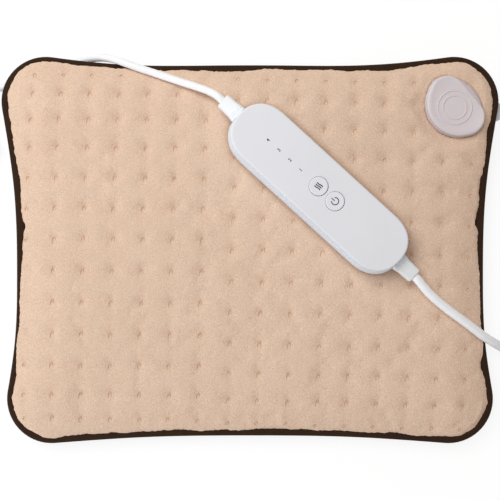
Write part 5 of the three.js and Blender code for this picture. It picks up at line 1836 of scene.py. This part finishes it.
    def back(self) -> Piece:
        """Makes the plain back, flat where the pad lies and drawn up to the tape."""
        bm = self.sheet(self.body_inset)
        flat = np.array([v.co[:2] for v in bm.verts])
        edge = SEAM_HEIGHT - self.tape_height / 2
        t = np.clip((self.plan.distance(flat) - self.body_inset) / self.under_reach, 0, 1)
        z = edge * (1 - t) ** self.under_power
        pocket = smoothstep(*self.seat_rim, polygon_distance(SOCKET_BASE.placed(self.pocket_grow), flat))
        way = smoothstep(*self.plug_rim, self.plug_way / 2 - np.abs(flat[:, 1] - SOCKET_BASE.y))
        way = way * (flat[:, 0] > SOCKET_BASE.x)
        z = z + np.maximum(self.pocket_roof - z, 0) * pocket
        z = z + np.maximum(edge + self.plug_rise - z, 0) * way * (1 - pocket)
        fade = (1 - pocket) * 4 * t * (1 - t)
        for k, vert in enumerate(bm.verts):
            ripple = layered_noise(flat[k], [self.under_wave]) * fade[k]
            vert.co.z = z[k] + max(ripple, -self.under_dip)
        loop = boundary_loop(next(e for e in bm.edges if e.is_boundary))
        loop = grow_loop(bm, loop, [Vector((v.co.x, v.co.y, self.back_roof)) for v in loop])
        cap_loop(bm, loop)
        bmesh.ops.recalc_face_normals(bm, faces=bm.faces)
        # An empty layer of painted shade: the backing gets none
        bm.verts.layers.float.new("painted_shade")
        piece = place_piece(bm, "fleece_back", Palette.BACKING, ["back_cover"], crease=80)
        return piece

    def binding(self) -> Piece:
        """Makes the tape folded over the pad's edge."""
        half, soft, width, lip = self.tape_height / 2, self.tape_round, self.tape_width, self.tape_lip
        fold = half - self.tape_fold
        under = [(width + lip, -fold), (width + lip, self.tape_soft - half), (width - lip, -half),
                 (width * self.tape_bow_place, -half - self.tape_bow), (soft, -half)]
        section = list(under)
        for i in range(1, 10):
            a = math.radians(-90 + 18 * i)
            side = math.copysign(half - soft, math.sin(a)) if i != 5 else 0
            section.append((soft - soft * math.cos(a), soft * math.sin(a) + side))
        section += [(inset, -rise) for inset, rise in reversed(under)]
        section += [(self.tape_core, fold), (self.tape_core, -fold)]
        rings = []
        for inset, rise in section:
            ring = self.plan.ring(inset, SEAM_HEIGHT + rise)
            for point in ring:
                point.z += self.tape_sway(point)
            rings.append(ring)
        bm = ring_tube(rings)
        self._wrap_uv(bm, section)
        return place_piece(bm, "binding_tape", Palette.BINDING, ["edge_binding"], crease=50)

    def _wrap_uv(self, bm: BMesh, section: Sequence[tuple[float, float]]) -> None:
        """Lays a UV map in metres along and across the tape.

        Args:
            bm: The tape.
            section: Its section, inset and rise of each point.
        """
        outline = self.plan.outline()
        steps = np.linalg.norm(np.roll(outline, -1, axis=0) - outline, axis=1)
        reach = np.concatenate([[0], np.cumsum(steps)])
        count = len(outline)
        layer = bm.loops.layers.uv.new("UVMap")
        bm.verts.index_update()
        for face in bm.faces:
            around = [loop.vert.index % count for loop in face.loops]
            wraps = max(around) - min(around) > 1
            for loop, k in zip(face.loops, around):
                u = reach[-1] if wraps and k == 0 else reach[k]
                v = loop.vert.index // count
                loop[layer].uv = (float(u), section[v][0] + section[v][1])

    def binding_stitches(self) -> Piece:
        """Makes the row of stitches that holds the tape, near its inner edge on the underside."""
        bm = bmesh.new()
        outline = self.plan.ring(self.seam_inset, SEAM_HEIGHT - self.tape_height / 2 - self.tape_bow)
        line = even_points([*outline, outline[0]], self.seam_pitch)
        for here, ahead in zip(line, line[1:]):
            way = (ahead - here).normalized()
            middle = (here + ahead) / 2
            middle.z += self.tape_sway(middle)
            place = Matrix.Translation(middle) @ Matrix.Rotation(math.atan2(way.y, way.x), 4, "Z")
            bmesh.ops.create_icosphere(bm, subdivisions=1, radius=self.seam_thread,
                                       matrix=place @ Matrix.Diagonal((*self.seam_shape, 1)))
        return place_piece(bm, "binding_stitches", Palette.BINDING_THREAD, crease=80)

    def carrier(self, frame: dict) -> Piece:
        """Makes the thin cloth inside the pad that carries the heating wire.

        Args:
            frame: The loaded frame.

        Returns:
            The cloth.
        """
        bm = bmesh.new()
        bm.from_mesh(frame["nodes"]["heater_carrier"].data)
        bmesh.ops.remove_doubles(bm, verts=bm.verts, dist=1e-6)
        area = sum(f.calc_area() for f in bm.faces if f.normal.z > 0.9)
        # An empty layer of painted shade: the carrier gets none
        bm.verts.layers.float.new("painted_shade")
        piece = place_piece(bm, "carrier_sheet", Palette.CARRIER, ["heater_carrier"])
        return piece

    def build(self, frame: dict) -> None:
        """Makes every piece of the pad."""
        self.front()
        self.back()
        self.tuft_rings()
        self.binding()
        self.binding_stitches()
        self.carrier(frame)


def read_points(mesh: bpy.types.Mesh) -> np.ndarray:
    """The mesh's vertices as rows of x, y and z."""
    flat = np.empty(len(mesh.vertices) * 3)
    mesh.vertices.foreach_get("co", flat)
    return flat.reshape(-1, 3)


def write_points(mesh: bpy.types.Mesh, points: np.ndarray) -> None:
    """Moves the mesh's vertices to the given rows."""
    mesh.vertices.foreach_set("co", points.ravel())
    mesh.update()


def subdivided(piece: Piece, levels: int) -> bpy.types.Mesh:
    """The piece's mesh, smoothed by subdivision.

    Args:
        piece: The piece, which keeps its own mesh.
        levels: How many times each face is split.

    Returns:
        A new mesh.
    """
    split = piece.modifiers.new("split", "SUBSURF")
    split.levels = split.render_levels = levels
    split.boundary_smooth = "PRESERVE_CORNERS"
    mesh = modified_mesh(piece)
    piece.modifiers.remove(split)
    return mesh


def boundary_loop(edge: bmesh.types.BMEdge) -> list[Vert]:
    """Walks an open edge round to its start.

    Args:
        edge: An edge with one face.

    Returns:
        The vertices, in order.
    """
    first, vert = edge.verts
    loop = [first]
    last = edge
    while vert is not first:
        loop.append(vert)
        last = next(e for e in vert.link_edges if e.is_boundary and e is not last)
        vert = last.other_vert(vert)
    return loop


# Socket


@dataclass
class Socket:
    """The lead's socket: the cover on the front and the base behind it."""

    plan: SocketPlan
    base_plan: SocketPlan
    tray_floor: float = 0.3 * MM
    tray_height: float = 9.2 * MM
    tray_grow: float = 1.2 * MM
    tray_edge: float = 1.6 * MM
    mouth_depth: float = 16 * MM
    mouth_width: float = 22.6 * MM
    mouth_low: float = 1.3 * MM
    mouth_high: float = 7.3 * MM
    screws: tuple[tuple[float, float], ...] = ((-1 * MM, 17 * MM), (6 * MM, -15 * MM), (-11 * MM, 8 * MM))
    screw_head: float = 2.8 * MM
    screw_shank: float = 1.35 * MM
    screw_depth: float = 2.4 * MM
    well_sides: int = 32
    base_height: float = 15.8 * MM
    height: float = 10.5 * MM
    draft: float = 1.5 * MM
    dip: float = 0.8 * MM
    ring_radius: float = 13.4 * MM
    ring_step: float = 4.1 * MM
    ring_width: float = 1.4 * MM
    ring_rise: float = 0.5 * MM
    ring_margin: float = 0.3 * MM
    ring_soft: float = 0.36 * MM
    hub: float = 1 * MM
    inner_ease: float = 0.6 * MM
    inner_dip: float = 1.6 * MM
    edge: float = 1.1 * MM
    edge_steps: int = 8
    edge_ease: float = 0.2 * MM
    edge_draft: float = 0.2
    edge_foot: float = 0.16
    back_edge: float = 0.9 * MM
    back_band: float = 15 * MM
    lip: float = 0.22 * MM
    lip_ease: float = 0.25 * MM
    crease: float = 32

    def _ring(self, grow: float, dip: float, z: float, foot: float = 0, back: float = 0,
              sink: float = 0) -> Ring:
        """The outline at a height.

        Args:
            grow: How far outside the plain outline.
            dip: How far the flat side draws in.
            z: The height.
            foot: Share of the foot's full outline in it.
            back: How much further in it lies round the back.
            sink: How much lower it lies round the back.

        Returns:
            The points, in order.
        """
        ring = []
        further = self.plan.outline(grow - back, dip)
        for near, inside, full in zip(self.plan.outline(grow, dip), further, self.plan.foot(grow)):
            share = float(smoothstep(self.back_band, -self.back_band, near.x))
            place = near.lerp(inside, share).lerp(full, foot)
            ring.append(Vector((place.x, place.y, z - sink * share)))
        return ring

    def _disc(self, radius: float, z: float) -> Ring:
        """A circle with as many points as the outline, matched to it by direction."""
        ring = []
        for p in self.plan.outline(0, 0):
            a = math.atan2(p.y, p.x)
            ring.append(Vector((radius * math.cos(a), radius * math.sin(a), z)))
        return ring

    def cover(self) -> Piece:
        """Makes the cover, with a soft upper edge and two moulded rings."""
        h, d, edge, face = self.height, self.draft, self.edge, self.height - self.lip
        rings = [self._ring(-WALL - self.inner_ease, self.inner_dip, face - WALL),
                 self._ring(d - WALL, 0, 0, 1)]
        # Share of the draft, dip of the flat side in millimetres, share of the height, share of the foot
        wall = [(1, 0, 0, 1), (0.9, 0, 0.22, 1), (0.7, 0, 0.45, 0.88), (0.6, 0.3, 0.66, 0.5),
                (0.56, 0.3, 0.69, 0.47), (0.36, 0.3, 0.70, 0.46), (0.34, 0.4, 0.73, 0.4)]
        for share, dip, level, foot in wall:
            rings.append(self._ring(d * share, dip * MM, h * level, foot))
        for i, (out, up) in enumerate(quarter_round(self.edge_steps)):
            left = 1 - i / self.edge_steps
            grow = d * self.edge_draft * left - edge * (1 - out)
            rings.append(self._ring(grow, self.dip, h - edge * (1 - up), self.edge_foot * left,
                                    self.back_edge * (1 - out)))
        rings.append(self._ring(-edge - self.edge_ease, self.dip, h, 0, self.back_edge))
        # Further reach round the back in millimetres and share of the lip's drop
        for reach, drop in ((1.5, 0), (1.8, 0.5), (2.1, 1)):
            rings.append(self._ring(-edge - self.lip_ease, self.dip, h, 0, self.back_edge + reach * MM,
                                    self.lip * drop))
        half, soft = self.ring_width / 2, self.ring_soft
        # Share of the soft edge's width, height below the ring's top in millimetres
        slope = [(0.5, 0.12), (1, 0)]
        rings.append(self._disc(self.ring_radius + half + self.ring_margin, face))
        for radius in (self.ring_radius, self.ring_radius - self.ring_step):
            far, near, top = radius + half, radius - half, face + self.ring_rise
            rings.append(self._disc(far, face))
            rings += [self._disc(far - soft * share, top - low * MM) for share, low in slope]
            rings += [self._disc(near + soft * share, top - low * MM) for share, low in reversed(slope)]
            rings += [self._disc(near, face), self._disc(near - self.ring_margin, face)]
        rings.append(self._disc(self.hub, face))
        place = Matrix.Translation((self.plan.x, self.plan.y, self.base_height))
        place @= Matrix.Rotation(self.plan.turn, 4, "Z")
        return place_piece(loft(rings), "socket_puck", Palette.SOCKET, ["socket_cover"], place,
                           self.crease)

    def tray(self) -> Piece:
        """Makes the base, with a soft lower edge, a mouth for the plug and a well for each screw."""
        low, high, edge = self.tray_floor, self.tray_floor + self.tray_height, self.tray_edge
        levels = [(self.tray_grow - edge * (1 - up), low + edge * (1 - out)) for out, up in quarter_round(6)]
        levels += [(self.tray_grow, high - GAP), (self.tray_grow - GAP, high)]
        bm = loft([[Vector((p.x, p.y, z)) for p in self.base_plan.outline(grow, 0)] for grow, z in levels])
        front = max(p.x for p in self.base_plan.outline(0, 0))
        size = (2 * self.mouth_depth, self.mouth_width, self.mouth_high - self.mouth_low)
        middle = Matrix.Translation((front, 0, (self.mouth_low + self.mouth_high) / 2))
        mouth = bmesh.new()
        bmesh.ops.create_cube(mouth, size=1, matrix=middle @ Matrix.Diagonal((*size, 1)))
        bm = cut_away(bm, mouth)
        head, shank, seat = self.screw_head, self.screw_shank, low + self.screw_depth
        for x, y in self.screws:
            well = turned([(0, low - MM), (head, low - MM), (head, seat), (shank, seat), (shank, high + MM),
                           (0, high + MM)], self.well_sides)
            bmesh.ops.translate(well, verts=well.verts, vec=(x, y, 0))
            bm = cut_away(bm, well)
        place = Matrix.Translation((self.base_plan.x, self.base_plan.y, 0))
        return place_piece(bm, "socket_tray", Palette.SOCKET, ["socket_base"], place,
                           self.crease)

    def build(self) -> None:
        """Makes the socket's pieces."""
        self.cover()
        self.tray()


@dataclass
class PadPlug:
    """The flat plug on the pad lead, pushed into the socket's base."""

    plan: SocketPlan
    grip: float = 20 * MM
    relief: float = 20 * MM
    relief_near: float = 3.95 * MM
    relief_far: float = 3.75 * MM
    ribs: int = 5
    sides: int = 32
    axis: float = 4.1 * MM
    reach: float = 1.5 * MM

    @property
    def place(self) -> Matrix:
        """From the plug's own frame, along +X from the socket's face, to the pad's."""
        face = max(p.x for p in self.plan.outline(0, 0)) + self.reach
        return Matrix.Translation((self.plan.x + face, self.plan.y, self.axis))

    def body(self) -> Piece:
        """Makes the tongue in the socket and the grip outside it, with three finger grooves a side."""
        wide, thick, taper, deep = 24, 7.6, 0.22, 0.9
        # Distance from the socket's face, width and height of each section, in millimetres
        steps = [(-15, 21.4, 4.8), (-14.6, 22, 5.4), (-0.1, 22, 5.4), (0, 23.2, 6.8), (0.5, wide, thick)]
        for groove in (2.6, 5.6, 8.6):
            side = wide - groove * taper
            steps += [(groove - 0.9, side, thick), (groove - 0.5, side - deep, thick - 0.2),
                      (groove + 0.5, side - deep, thick - 0.2), (groove + 0.9, side, thick)]
        steps += [(12, 20.2, thick), (15.5, 17.2, thick), (19.2, 14, thick), (20, 12.8, 6.9)]
        return place_piece(moulded(steps, 0), "pad_plug_shell", Palette.PLUG, ["pad_plug_body"],
                           self.place, crease=36)

    def boot(self) -> Piece:
        """Makes the ribbed relief where the lead enters the plug."""
        lie = Matrix.Translation((self.grip + GAP, 0, 0)) @ Matrix.Rotation(math.pi / 2, 4, "Y")
        profile = ribbed_profile(self.relief, self.relief_near, self.relief_far, self.ribs)
        return place_piece(turned(profile, self.sides), "pad_plug_boot", Palette.RELIEF,
                           ["pad_plug_relief"], self.place @ lie, crease=32)

    def build(self) -> list[Piece]:
        """Makes the plug's pieces and gives them back."""
        return [self.body(), self.boot()]


# Controller


@dataclass
class Controller:
    """The hand controller: two shells, two keys, printed marks and a strain relief at each end."""

    plan: HandsetPlan
    edge: float = 1.5 * MM
    edge_draw: float = 0.4 * MM
    lip: float = 0.25 * MM
    bend_height: float = 5 * MM
    bend_share: float = 0.55
    side_slope: float = 0.35
    tray_ease: float = 0.2 * MM
    tray_bend: float = 1 * MM
    tray_soft: float = 1.5 * MM
    key_diameter: float = 14.6 * MM
    key_spacing: float = 17 * MM
    heat_x: float = -1.2 * MM
    key_clearance: float = 0.27 * MM
    key_play: float = 0.15 * MM
    key_proud: float = 0.7 * MM
    key_flange: float = 0.6 * MM
    key_shelf: float = 1.4 * MM
    key_rim: float = 0.8 * MM
    key_dish: float = 0.15 * MM
    key_stem: float = 11.8 * MM
    stem_radius: float = 2.2 * MM
    key_steps: int = 72
    ink: float = 0.1 * MM
    ink_depth: float = 0.12 * MM
    numeral_first: float = -53.5 * MM
    numeral_pitch: float = 11.3 * MM
    numeral_height: float = 2.7 * MM
    relief_start: float = 86.17 * MM
    relief_flange: float = 2.4 * MM
    relief_length: float = 12.6 * MM
    relief_width: float = 11.6 * MM
    relief_height: float = 8.8 * MM
    flange_width: float = 14.0 * MM
    flange_rise: float = 1.6 * MM
    flange_soft: float = 0.35 * MM
    relief_ribs: int = 2
    relief_rib: float = 1.4 * MM
    relief_grow: float = 1.1 * MM
    relief_gap: float = 0.25 * MM
    relief_corner: float = 2.4 * MM

    @property
    def lid(self) -> float:
        """Height of the upper shell's inner face."""
        return self.plan.height - WALL

    @property
    def key_places(self) -> list[float]:
        """Places of the keys along the controller."""
        return [self.heat_x, self.heat_x + self.key_spacing]

    def _key_ring(self, x: float, radius: float, z: float) -> Ring:
        """A circle about a key's place."""
        count = self.key_steps
        return [Vector((x + radius * math.cos(2 * math.pi * i / count),
                        radius * math.sin(2 * math.pi * i / count), z)) for i in range(count)]

    def upper_shell(self) -> Piece:
        """Makes the upper shell with its two wells for the keys."""
        plan, top, edge, lip = self.plan, self.plan.height, self.edge, self.lip
        low = plan.parting + GAP / 2
        foot_draft, wall_top = plan.draft_at(low), plan.draft_at(top) - self.edge_draw
        bm = bmesh.new()
        first = start_loop(bm, plan.ring(foot_draft + lip, low))
        loop = grow_loop(bm, first, plan.ring(foot_draft, low + lip))
        bend = foot_draft + (wall_top - foot_draft) * self.bend_share
        loop = grow_loop(bm, loop, plan.ring(bend, low + self.bend_height))
        for out, up in quarter_round(8):
            loop = grow_loop(bm, loop, plan.ring(wall_top + edge * (1 - out), top - edge * (1 - up)))
        loop = grow_loop(bm, loop, plan.ring(wall_top + edge + self.edge_draw, top))
        radius = self.key_diameter / 2 + self.key_clearance
        wells = [x + self.key_play for x in self.key_places]
        rims = [start_loop(bm, self._key_ring(x, radius + self.key_rim, top)) for x in wells]
        cap_loop(bm, loop, *rims)
        feet = []
        # Radius past the well's own and depth below the lid's face
        well_steps = [(lip, 0), (0.07 * MM, 0.08 * MM), (0, lip), (0, WALL)]
        for x, foot in zip(wells, rims):
            for grow, depth in well_steps:
                foot = grow_loop(bm, foot, self._key_ring(x, radius + grow, top - depth))
            feet.append(foot)
        inner = grow_loop(bm, first, plan.ring(foot_draft + WALL, low))
        inner = grow_loop(bm, inner, plan.ring(plan.draft_at(self.lid) + WALL, self.lid))
        cap_loop(bm, inner, *feet)
        bmesh.ops.recalc_face_normals(bm, faces=bm.faces)
        lid = place_piece(bm, "controller_lid", Palette.SHELL, ["upper_shell"], plan.place,
                          crease=30)
        # The steep walls wear the bluer wall finish: painted cool light on the sides
        lid.data.materials.append(Palette.SHELL_WALL_PAINTED_LIGHT.material)
        for face in lid.data.polygons:
            face.material_index = int(abs(face.normal.z) < self.side_slope)
        return lid

    def lower_shell(self) -> Piece:
        """Makes the lower shell, a tray with a round foot."""
        plan, lip = self.plan, self.lip
        high = plan.parting - GAP / 2
        draft = plan.draft_at(high)
        rings = [plan.ring(plan.foot * (1 - up), plan.foot * (1 - out)) for out, up in quarter_round(7)]
        rings += [plan.ring(draft, high - lip), plan.ring(draft + lip, high), plan.ring(draft + WALL, high),
                  plan.ring(WALL + self.tray_ease, plan.foot + self.tray_bend),
                  plan.ring(WALL + self.tray_soft, WALL)]
        # The whole tray wears the bluer wall finish: painted cool light on the sides
        return place_piece(loft(rings), "controller_tray", Palette.SHELL_WALL_PAINTED_LIGHT, ["lower_shell"],
                           plan.place, crease=30)

    def key(self, name: str, x: float, body: Body, node: str) -> Piece:
        """Makes a round key with a soft rim, a flange under the lid and a stem.

        Args:
            name: The piece's name.
            x: Its place along the controller.
            body: The body it rides on.
            node: The frame node that it stands for.

        Returns:
            The key.
        """
        r, rim, stem = self.key_diameter / 2, self.key_rim, self.stem_radius
        top, shelf = self.plan.height + self.key_proud, self.lid - GAP
        under = shelf - self.key_shelf
        profile = [(0, self.key_stem), (stem, self.key_stem), (stem, under), (r + self.key_flange, under),
                   (r + self.key_flange, shelf), (r, shelf)]
        profile += [(r - rim * (1 - out), top - rim * (1 - up)) for out, up in quarter_round(6)]
        # The dished face, by distance from the middle and depth
        profile += [(r - 1.2 * MM, top - 0.02 * MM), (r * 0.55, top - self.key_dish * 0.75),
                    (0, top - self.key_dish)]
        move = self.plan.place @ Matrix.Translation((x, 0, 0))
        return place_piece(turned(profile, self.key_steps), name, Palette.KEY, [node], move,
                           crease=35, body=body)

    def heat_mark(self) -> Piece:
        """Makes the heat sign on its key: three rising waves."""
        bm = bmesh.new()
        length, sway, line, pitch, steps = 5.4 * MM, 0.34 * MM, 0.76 * MM, 1.55 * MM, 24
        turns = [i / steps - 0.5 for i in range(steps + 1)]
        for lane in (-pitch, 0, pitch):
            path = [Vector((t * length, lane + sway * math.sin(t * 2 * math.pi), 0)) for t in turns]
            ribbon(bm, path, line, self.ink)
        return self._mark(bm, "heat_sign", self.heat_x, Body.HEAT_KEY)

    def power_mark(self) -> Piece:
        """Makes the power sign on its key: a broken circle with a bar."""
        bm = bmesh.new()
        radius, line, gap, steps = 2.75 * MM, 0.66 * MM, math.radians(42), 40
        turns = [math.pi + gap + (2 * math.pi - 2 * gap) * i / steps for i in range(steps + 1)]
        ribbon(bm, [Vector((radius * math.cos(a), radius * math.sin(a), 0)) for a in turns], line, self.ink)
        bar_start, bar_end = -3.5 * MM, -0.4 * MM
        ribbon(bm, [Vector((bar_start, 0, 0)), Vector((bar_end, 0, 0))], line, self.ink)
        return self._mark(bm, "power_sign", self.heat_x + self.key_spacing, Body.POWER_KEY)

    def _mark(self, bm: BMesh, name: str, x: float, body: Body) -> Piece:
        """Puts a sign on a key's face.

        Args:
            bm: The sign, lying at height 0.
            name: The piece's name.
            x: The key's place along the controller.
            body: The key's body.

        Returns:
            The sign.
        """
        face = self.plan.height + self.key_proud - self.ink_depth
        move = self.plan.place @ Matrix.Translation((x, 0, face))
        return place_piece(bm, name, Palette.INK, move=move, body=body)

    def numerals(self) -> Piece:
        """Prints the heat levels 4 to 1 in a row on the lid."""
        bm = bmesh.new()
        figure_share, lift = 0.69, 0.02 * MM
        for i, numeral in enumerate("4321"):
            text = bpy.data.curves.new("numeral", "FONT")
            text.body = numeral
            text.size = self.numeral_height / figure_share
            text.align_x = text.align_y = "CENTER"
            text.extrude = 0.03 * MM
            text.offset = 0.05 * MM
            figure = add_object("numeral", text)
            mesh = modified_mesh(figure)
            x = self.numeral_first + self.numeral_pitch * i
            place = Matrix.Translation((x, 0, self.plan.height + lift))
            mesh.transform(place @ Matrix.Rotation(math.pi / 2, 4, "Z"))
            bm.from_mesh(mesh)
            bpy.data.objects.remove(figure)
            bpy.data.meshes.remove(mesh)
        bmesh.ops.remove_doubles(bm, verts=bm.verts, dist=1e-7)
        return place_piece(bm, "level_numerals", Palette.INK, move=self.plan.place)

    def relief(self, name: str, side: int, node: str) -> Piece:
        """Makes the strain relief at one end: a flange against the wall and a flat tapered block.

        Args:
            name: The piece's name.
            side: 1 for the pad lead's end, -1 for the mains lead's.
            node: The frame node that it stands for.

        Returns:
            The relief.
        """
        def section(x: float, grow: float, rise: float, radius: float) -> Ring:
            """A round-cornered section across the lead, larger than the block by grow and rise."""
            ring = rounded_ring(self.relief_width + grow, self.relief_height + rise, radius)
            return [Vector((x, y, z)) for y, z in ring]

        start, flange = self.relief_start + self.flange_soft, self.flange_width - self.relief_width
        end = self.relief_start + self.relief_flange
        tip, full = end + self.relief_length, self.relief_grow
        seat = section(0, flange, self.flange_rise, self.relief_corner)
        for p in seat:
            p.x = self.plan.end_at(p.y, p.z + self.plan.lead_axis) + self.relief_gap
        rings = [seat, section(start, flange, self.flange_rise, self.relief_corner)]
        # Distance along, step of the width, step of the height and corner radius of a rib, in millimetres
        rib = [(0.3, 0, 0, 2.2), (0.45, -0.6, -0.5, 2), (0.65, -0.6, -0.5, 2), (0.8, -0.2, -0.2, 2)]
        for step in range(self.relief_ribs):
            x = start + step * self.relief_rib
            left = 1 - step / self.relief_ribs
            grow, rise = full + (flange - full) * left, self.flange_rise * left
            rings += [section(x + along * MM, grow + wide * MM, rise + high * MM, radius * MM)
                      for along, wide, high, radius in rib]
        rings += [section(end + full, full, 0, 2 * MM),
                  section(tip - 0.8 * MM, 0.6 * MM, -0.3 * MM, 2 * MM),
                  section(tip - 0.25 * MM, 0.2 * MM, -0.7 * MM, 1.8 * MM),
                  section(tip, -0.6 * MM, -1.4 * MM, 1.4 * MM)]
        turn = Matrix.Rotation(0 if side > 0 else math.pi, 4, "Z")
        move = self.plan.place @ turn @ Matrix.Translation((0, 0, self.plan.lead_axis))
        return place_piece(loft(rings), name, Palette.RELIEF, [node], move, crease=32)

    def build(self) -> None:
        """Makes every piece of the controller."""
        self.upper_shell()
        self.lower_shell()
        heat, power = self.key_places
        self.key("heat_key", heat, Body.HEAT_KEY, "heat_button")
        self.key("power_key", power, Body.POWER_KEY, "power_button")
        self.heat_mark()
        self.power_mark()
        self.numerals()
        self.relief("pad_side_relief", 1, "pad_lead_grommet")
        self.relief("mains_side_relief", -1, "mains_lead_grommet")


# Mains plug


@dataclass
class MainsPlug:
    """The flat two-pin plug on the mains lead and the strap round its coil."""

    leads: Leads
    length: float = 34 * MM
    relief: float = 20 * MM
    relief_wall: float = 0.6 * MM
    relief_far: float = 5 * MM
    ribs: int = 5
    relief_sides: int = 32
    pin_diameter: float = 4 * MM
    pin_length: float = 19 * MM
    pin_root: float = 8.7 * MM
    pin_pitch: float = 18.6 * MM
    pin_step: float = 0.15 * MM
    pin_sides: int = 28
    sleeve: float = 10 * MM
    tie_width: float = 8 * MM
    tie_thickness: float = 0.8 * MM
    tie_slack: float = 1 * MM
    tie_round: float = 3 * MM
    tie_inner_round: float = 2.4 * MM
    tie_soft: float = 0.2 * MM
    tie_corner_steps: int = 8

    @property
    def place(self) -> Matrix:
        """From the plug's own frame, along +X from its cord end, to the pad's."""
        way = self.leads.tail_heading
        return Matrix.Translation(self.leads.tail_end) @ Matrix.Rotation(math.atan2(way.y, way.x), 4, "Z")

    def body(self) -> Piece:
        """Makes the plug's moulded body."""
        start = self.relief + 2 * GAP
        # Distance from the relief, width and height of each section, in millimetres
        steps = [(0, 10.6, 9.2), (0.8, 12, 10.5), (5, 13.2, 11.2), (10.2, 17, 12.4), (14, 23, 13.1),
                 (17.6, 29.4, 13.5), (21.1, 33.8, 13.7), (26, 34.8, 13.7), (32.6, 35.3, 13.7),
                 (33.5, 34.7, 13.1), (34, 33.6, 12.1)]
        return place_piece(moulded(steps, start), "plug_shell", Palette.PLUG, ["plug_body"],
                           self.place, crease=36)

    def pin(self, side: int) -> Piece:
        """Makes one round pin with a dark sleeve at its root.

        Args:
            side: -1 or 1.

        Returns:
            The pin.
        """
        root = self.relief + 2 * GAP + self.length
        r, tip, neck = self.pin_diameter / 2, root + self.pin_length, root + self.sleeve
        bare = r - self.pin_step
        profile = [(0, root - self.pin_root), (r, root - self.pin_root), (r, neck), (bare, neck + 0.1 * MM),
                   (bare, tip - 1.6 * MM), (r * 0.82, tip - 0.7 * MM), (r * 0.55, tip - 0.15 * MM), (0, tip)]
        lie = Matrix.Rotation(math.pi / 2, 4, "Y")
        move = self.place @ Matrix.Translation((0, side * self.pin_pitch / 2, 0)) @ lie
        number = 1 if side < 0 else 2
        pin = place_piece(turned(profile, self.pin_sides), f"plug_prong_{number}", Palette.CHROME,
                          [f"plug_pin_{number}"], move, crease=40)
        pin.data.materials.append(Palette.DARK.material)
        back = self.place.inverted()
        for face in pin.data.polygons:
            if (back @ face.center).x < neck:
                face.material_index = 1
        return pin

    def boot(self) -> Piece:
        """Makes the ribbed, tapered relief where the cord enters the plug."""
        near = self.leads.mains_diameter / 2 + self.relief_wall
        profile = ribbed_profile(self.relief, near, self.relief_far, self.ribs)
        move = self.place @ Matrix.Translation((GAP, 0, 0)) @ Matrix.Rotation(math.pi / 2, 4, "Y")
        return place_piece(turned(profile, self.relief_sides), "plug_boot", Palette.RELIEF,
                           ["plug_relief"], move, crease=32)

    def tie(self) -> Piece:
        """Makes the strap round both layers of the coil."""
        lead, thick, corners = self.leads.mains_diameter / 2, self.tie_thickness, self.tie_corner_steps
        near = self.leads.coil_inner - lead - self.tie_slack
        far = self.leads.coil_radius + lead + self.tie_slack
        low = thick + GAP / 2
        high = self.leads.coil_floor + self.leads.coil_layer + lead + GAP
        outer = rounded_ring(far - near + 2 * thick, high - low + 2 * thick, self.tie_round, corners)
        inner = rounded_ring(far - near, high - low, self.tie_inner_round, corners)
        half, soft = self.tie_width / 2, self.tie_soft
        across = [(outer, soft - half), (outer, half - soft), (inner, half), (inner, -half)]
        bm = ring_tube([[Vector((x, y, z)) for x, z in loop] for loop, y in across])
        layer = bm.loops.layers.uv.new("UVMap")
        for face in bm.faces:
            for loop in face.loops:
                loop[layer].uv = (loop.vert.co.x + loop.vert.co.z, loop.vert.co.y)
        move = Matrix.Translation((self.leads.coil_x + (near + far) / 2, self.leads.coil_y, (low + high) / 2))
        return place_piece(bm, "coil_tie", Palette.TIE, ["cable_tie"], move, crease=40)

    def build(self) -> list[Piece]:
        """Makes every piece on the mains lead and gives them back."""
        return [self.body(), self.pin(-1), self.pin(1), self.boot(), self.tie()]


# Frame nodes that keep their own shape


def numbered(name: str, count: int) -> list[str]:
    """The name with each number from 1 to count."""
    return [f"{name}_{n}" for n in range(1, count + 1)]


FITTINGS = {
    Palette.WIRE: ["heating_wire", "sensor_wire", *numbered("supply_wire", 2)],
    Palette.DARK: ["triac", "microcontroller", "heat_switch", "power_switch", "reservoir_capacitor",
                   *numbered("thermal_cutout", 2)],
    Palette.PLUG: ["film_capacitor", "pad_lead_clamp", "mains_lead_clamp"],
    Palette.RELIEF: ["heat_plunger", "power_plunger"],
    Palette.BRASS: numbered("socket_pin", 3),
    Palette.STEEL: [*numbered("socket_screw", 3), *numbered("case_screw", 4)],
    Palette.LAMP: numbered("level_lamp", 4),
    Palette.CLEAR: ["light_guide", "fuse", "temperature_sensor"],
    Palette.BOARD: ["circuit_board"],
}


def dress_fittings(frame: dict) -> None:
    """Gives the frame's own solids, such as screws, contacts and what is inside, their finishes.

    Args:
        frame: The loaded frame.
    """
    for finish, names in FITTINGS.items():
        for name in names:
            node = frame["nodes"][name]
            node.data.materials.clear()
            node.data.materials.append(finish.material)
            LOG.info("%s keeps its shape", name)


def main() -> None:
    """Loads the frame and builds every piece in order."""
    logging.basicConfig(level=logging.INFO, format="%(name)s: %(message)s")
    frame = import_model()
    studio = Studio()
    studio.camera()
    handset = HandsetPlan()
    leads = Leads(handset)
    leads.build()
    Pad(PadPlan(), handset).build(frame)
    Socket(SOCKET_COVER, SOCKET_BASE).build()
    pad_pieces = PadPlug(SOCKET_BASE).build()
    Controller(handset).build()
    mains_pieces = MainsPlug(leads).build()
    dress_fittings(frame)
    studio.floor()
    studio.lights()
    bpy.context.scene.view_settings.view_transform = "Standard"


if __name__ == "__main__":
    main()
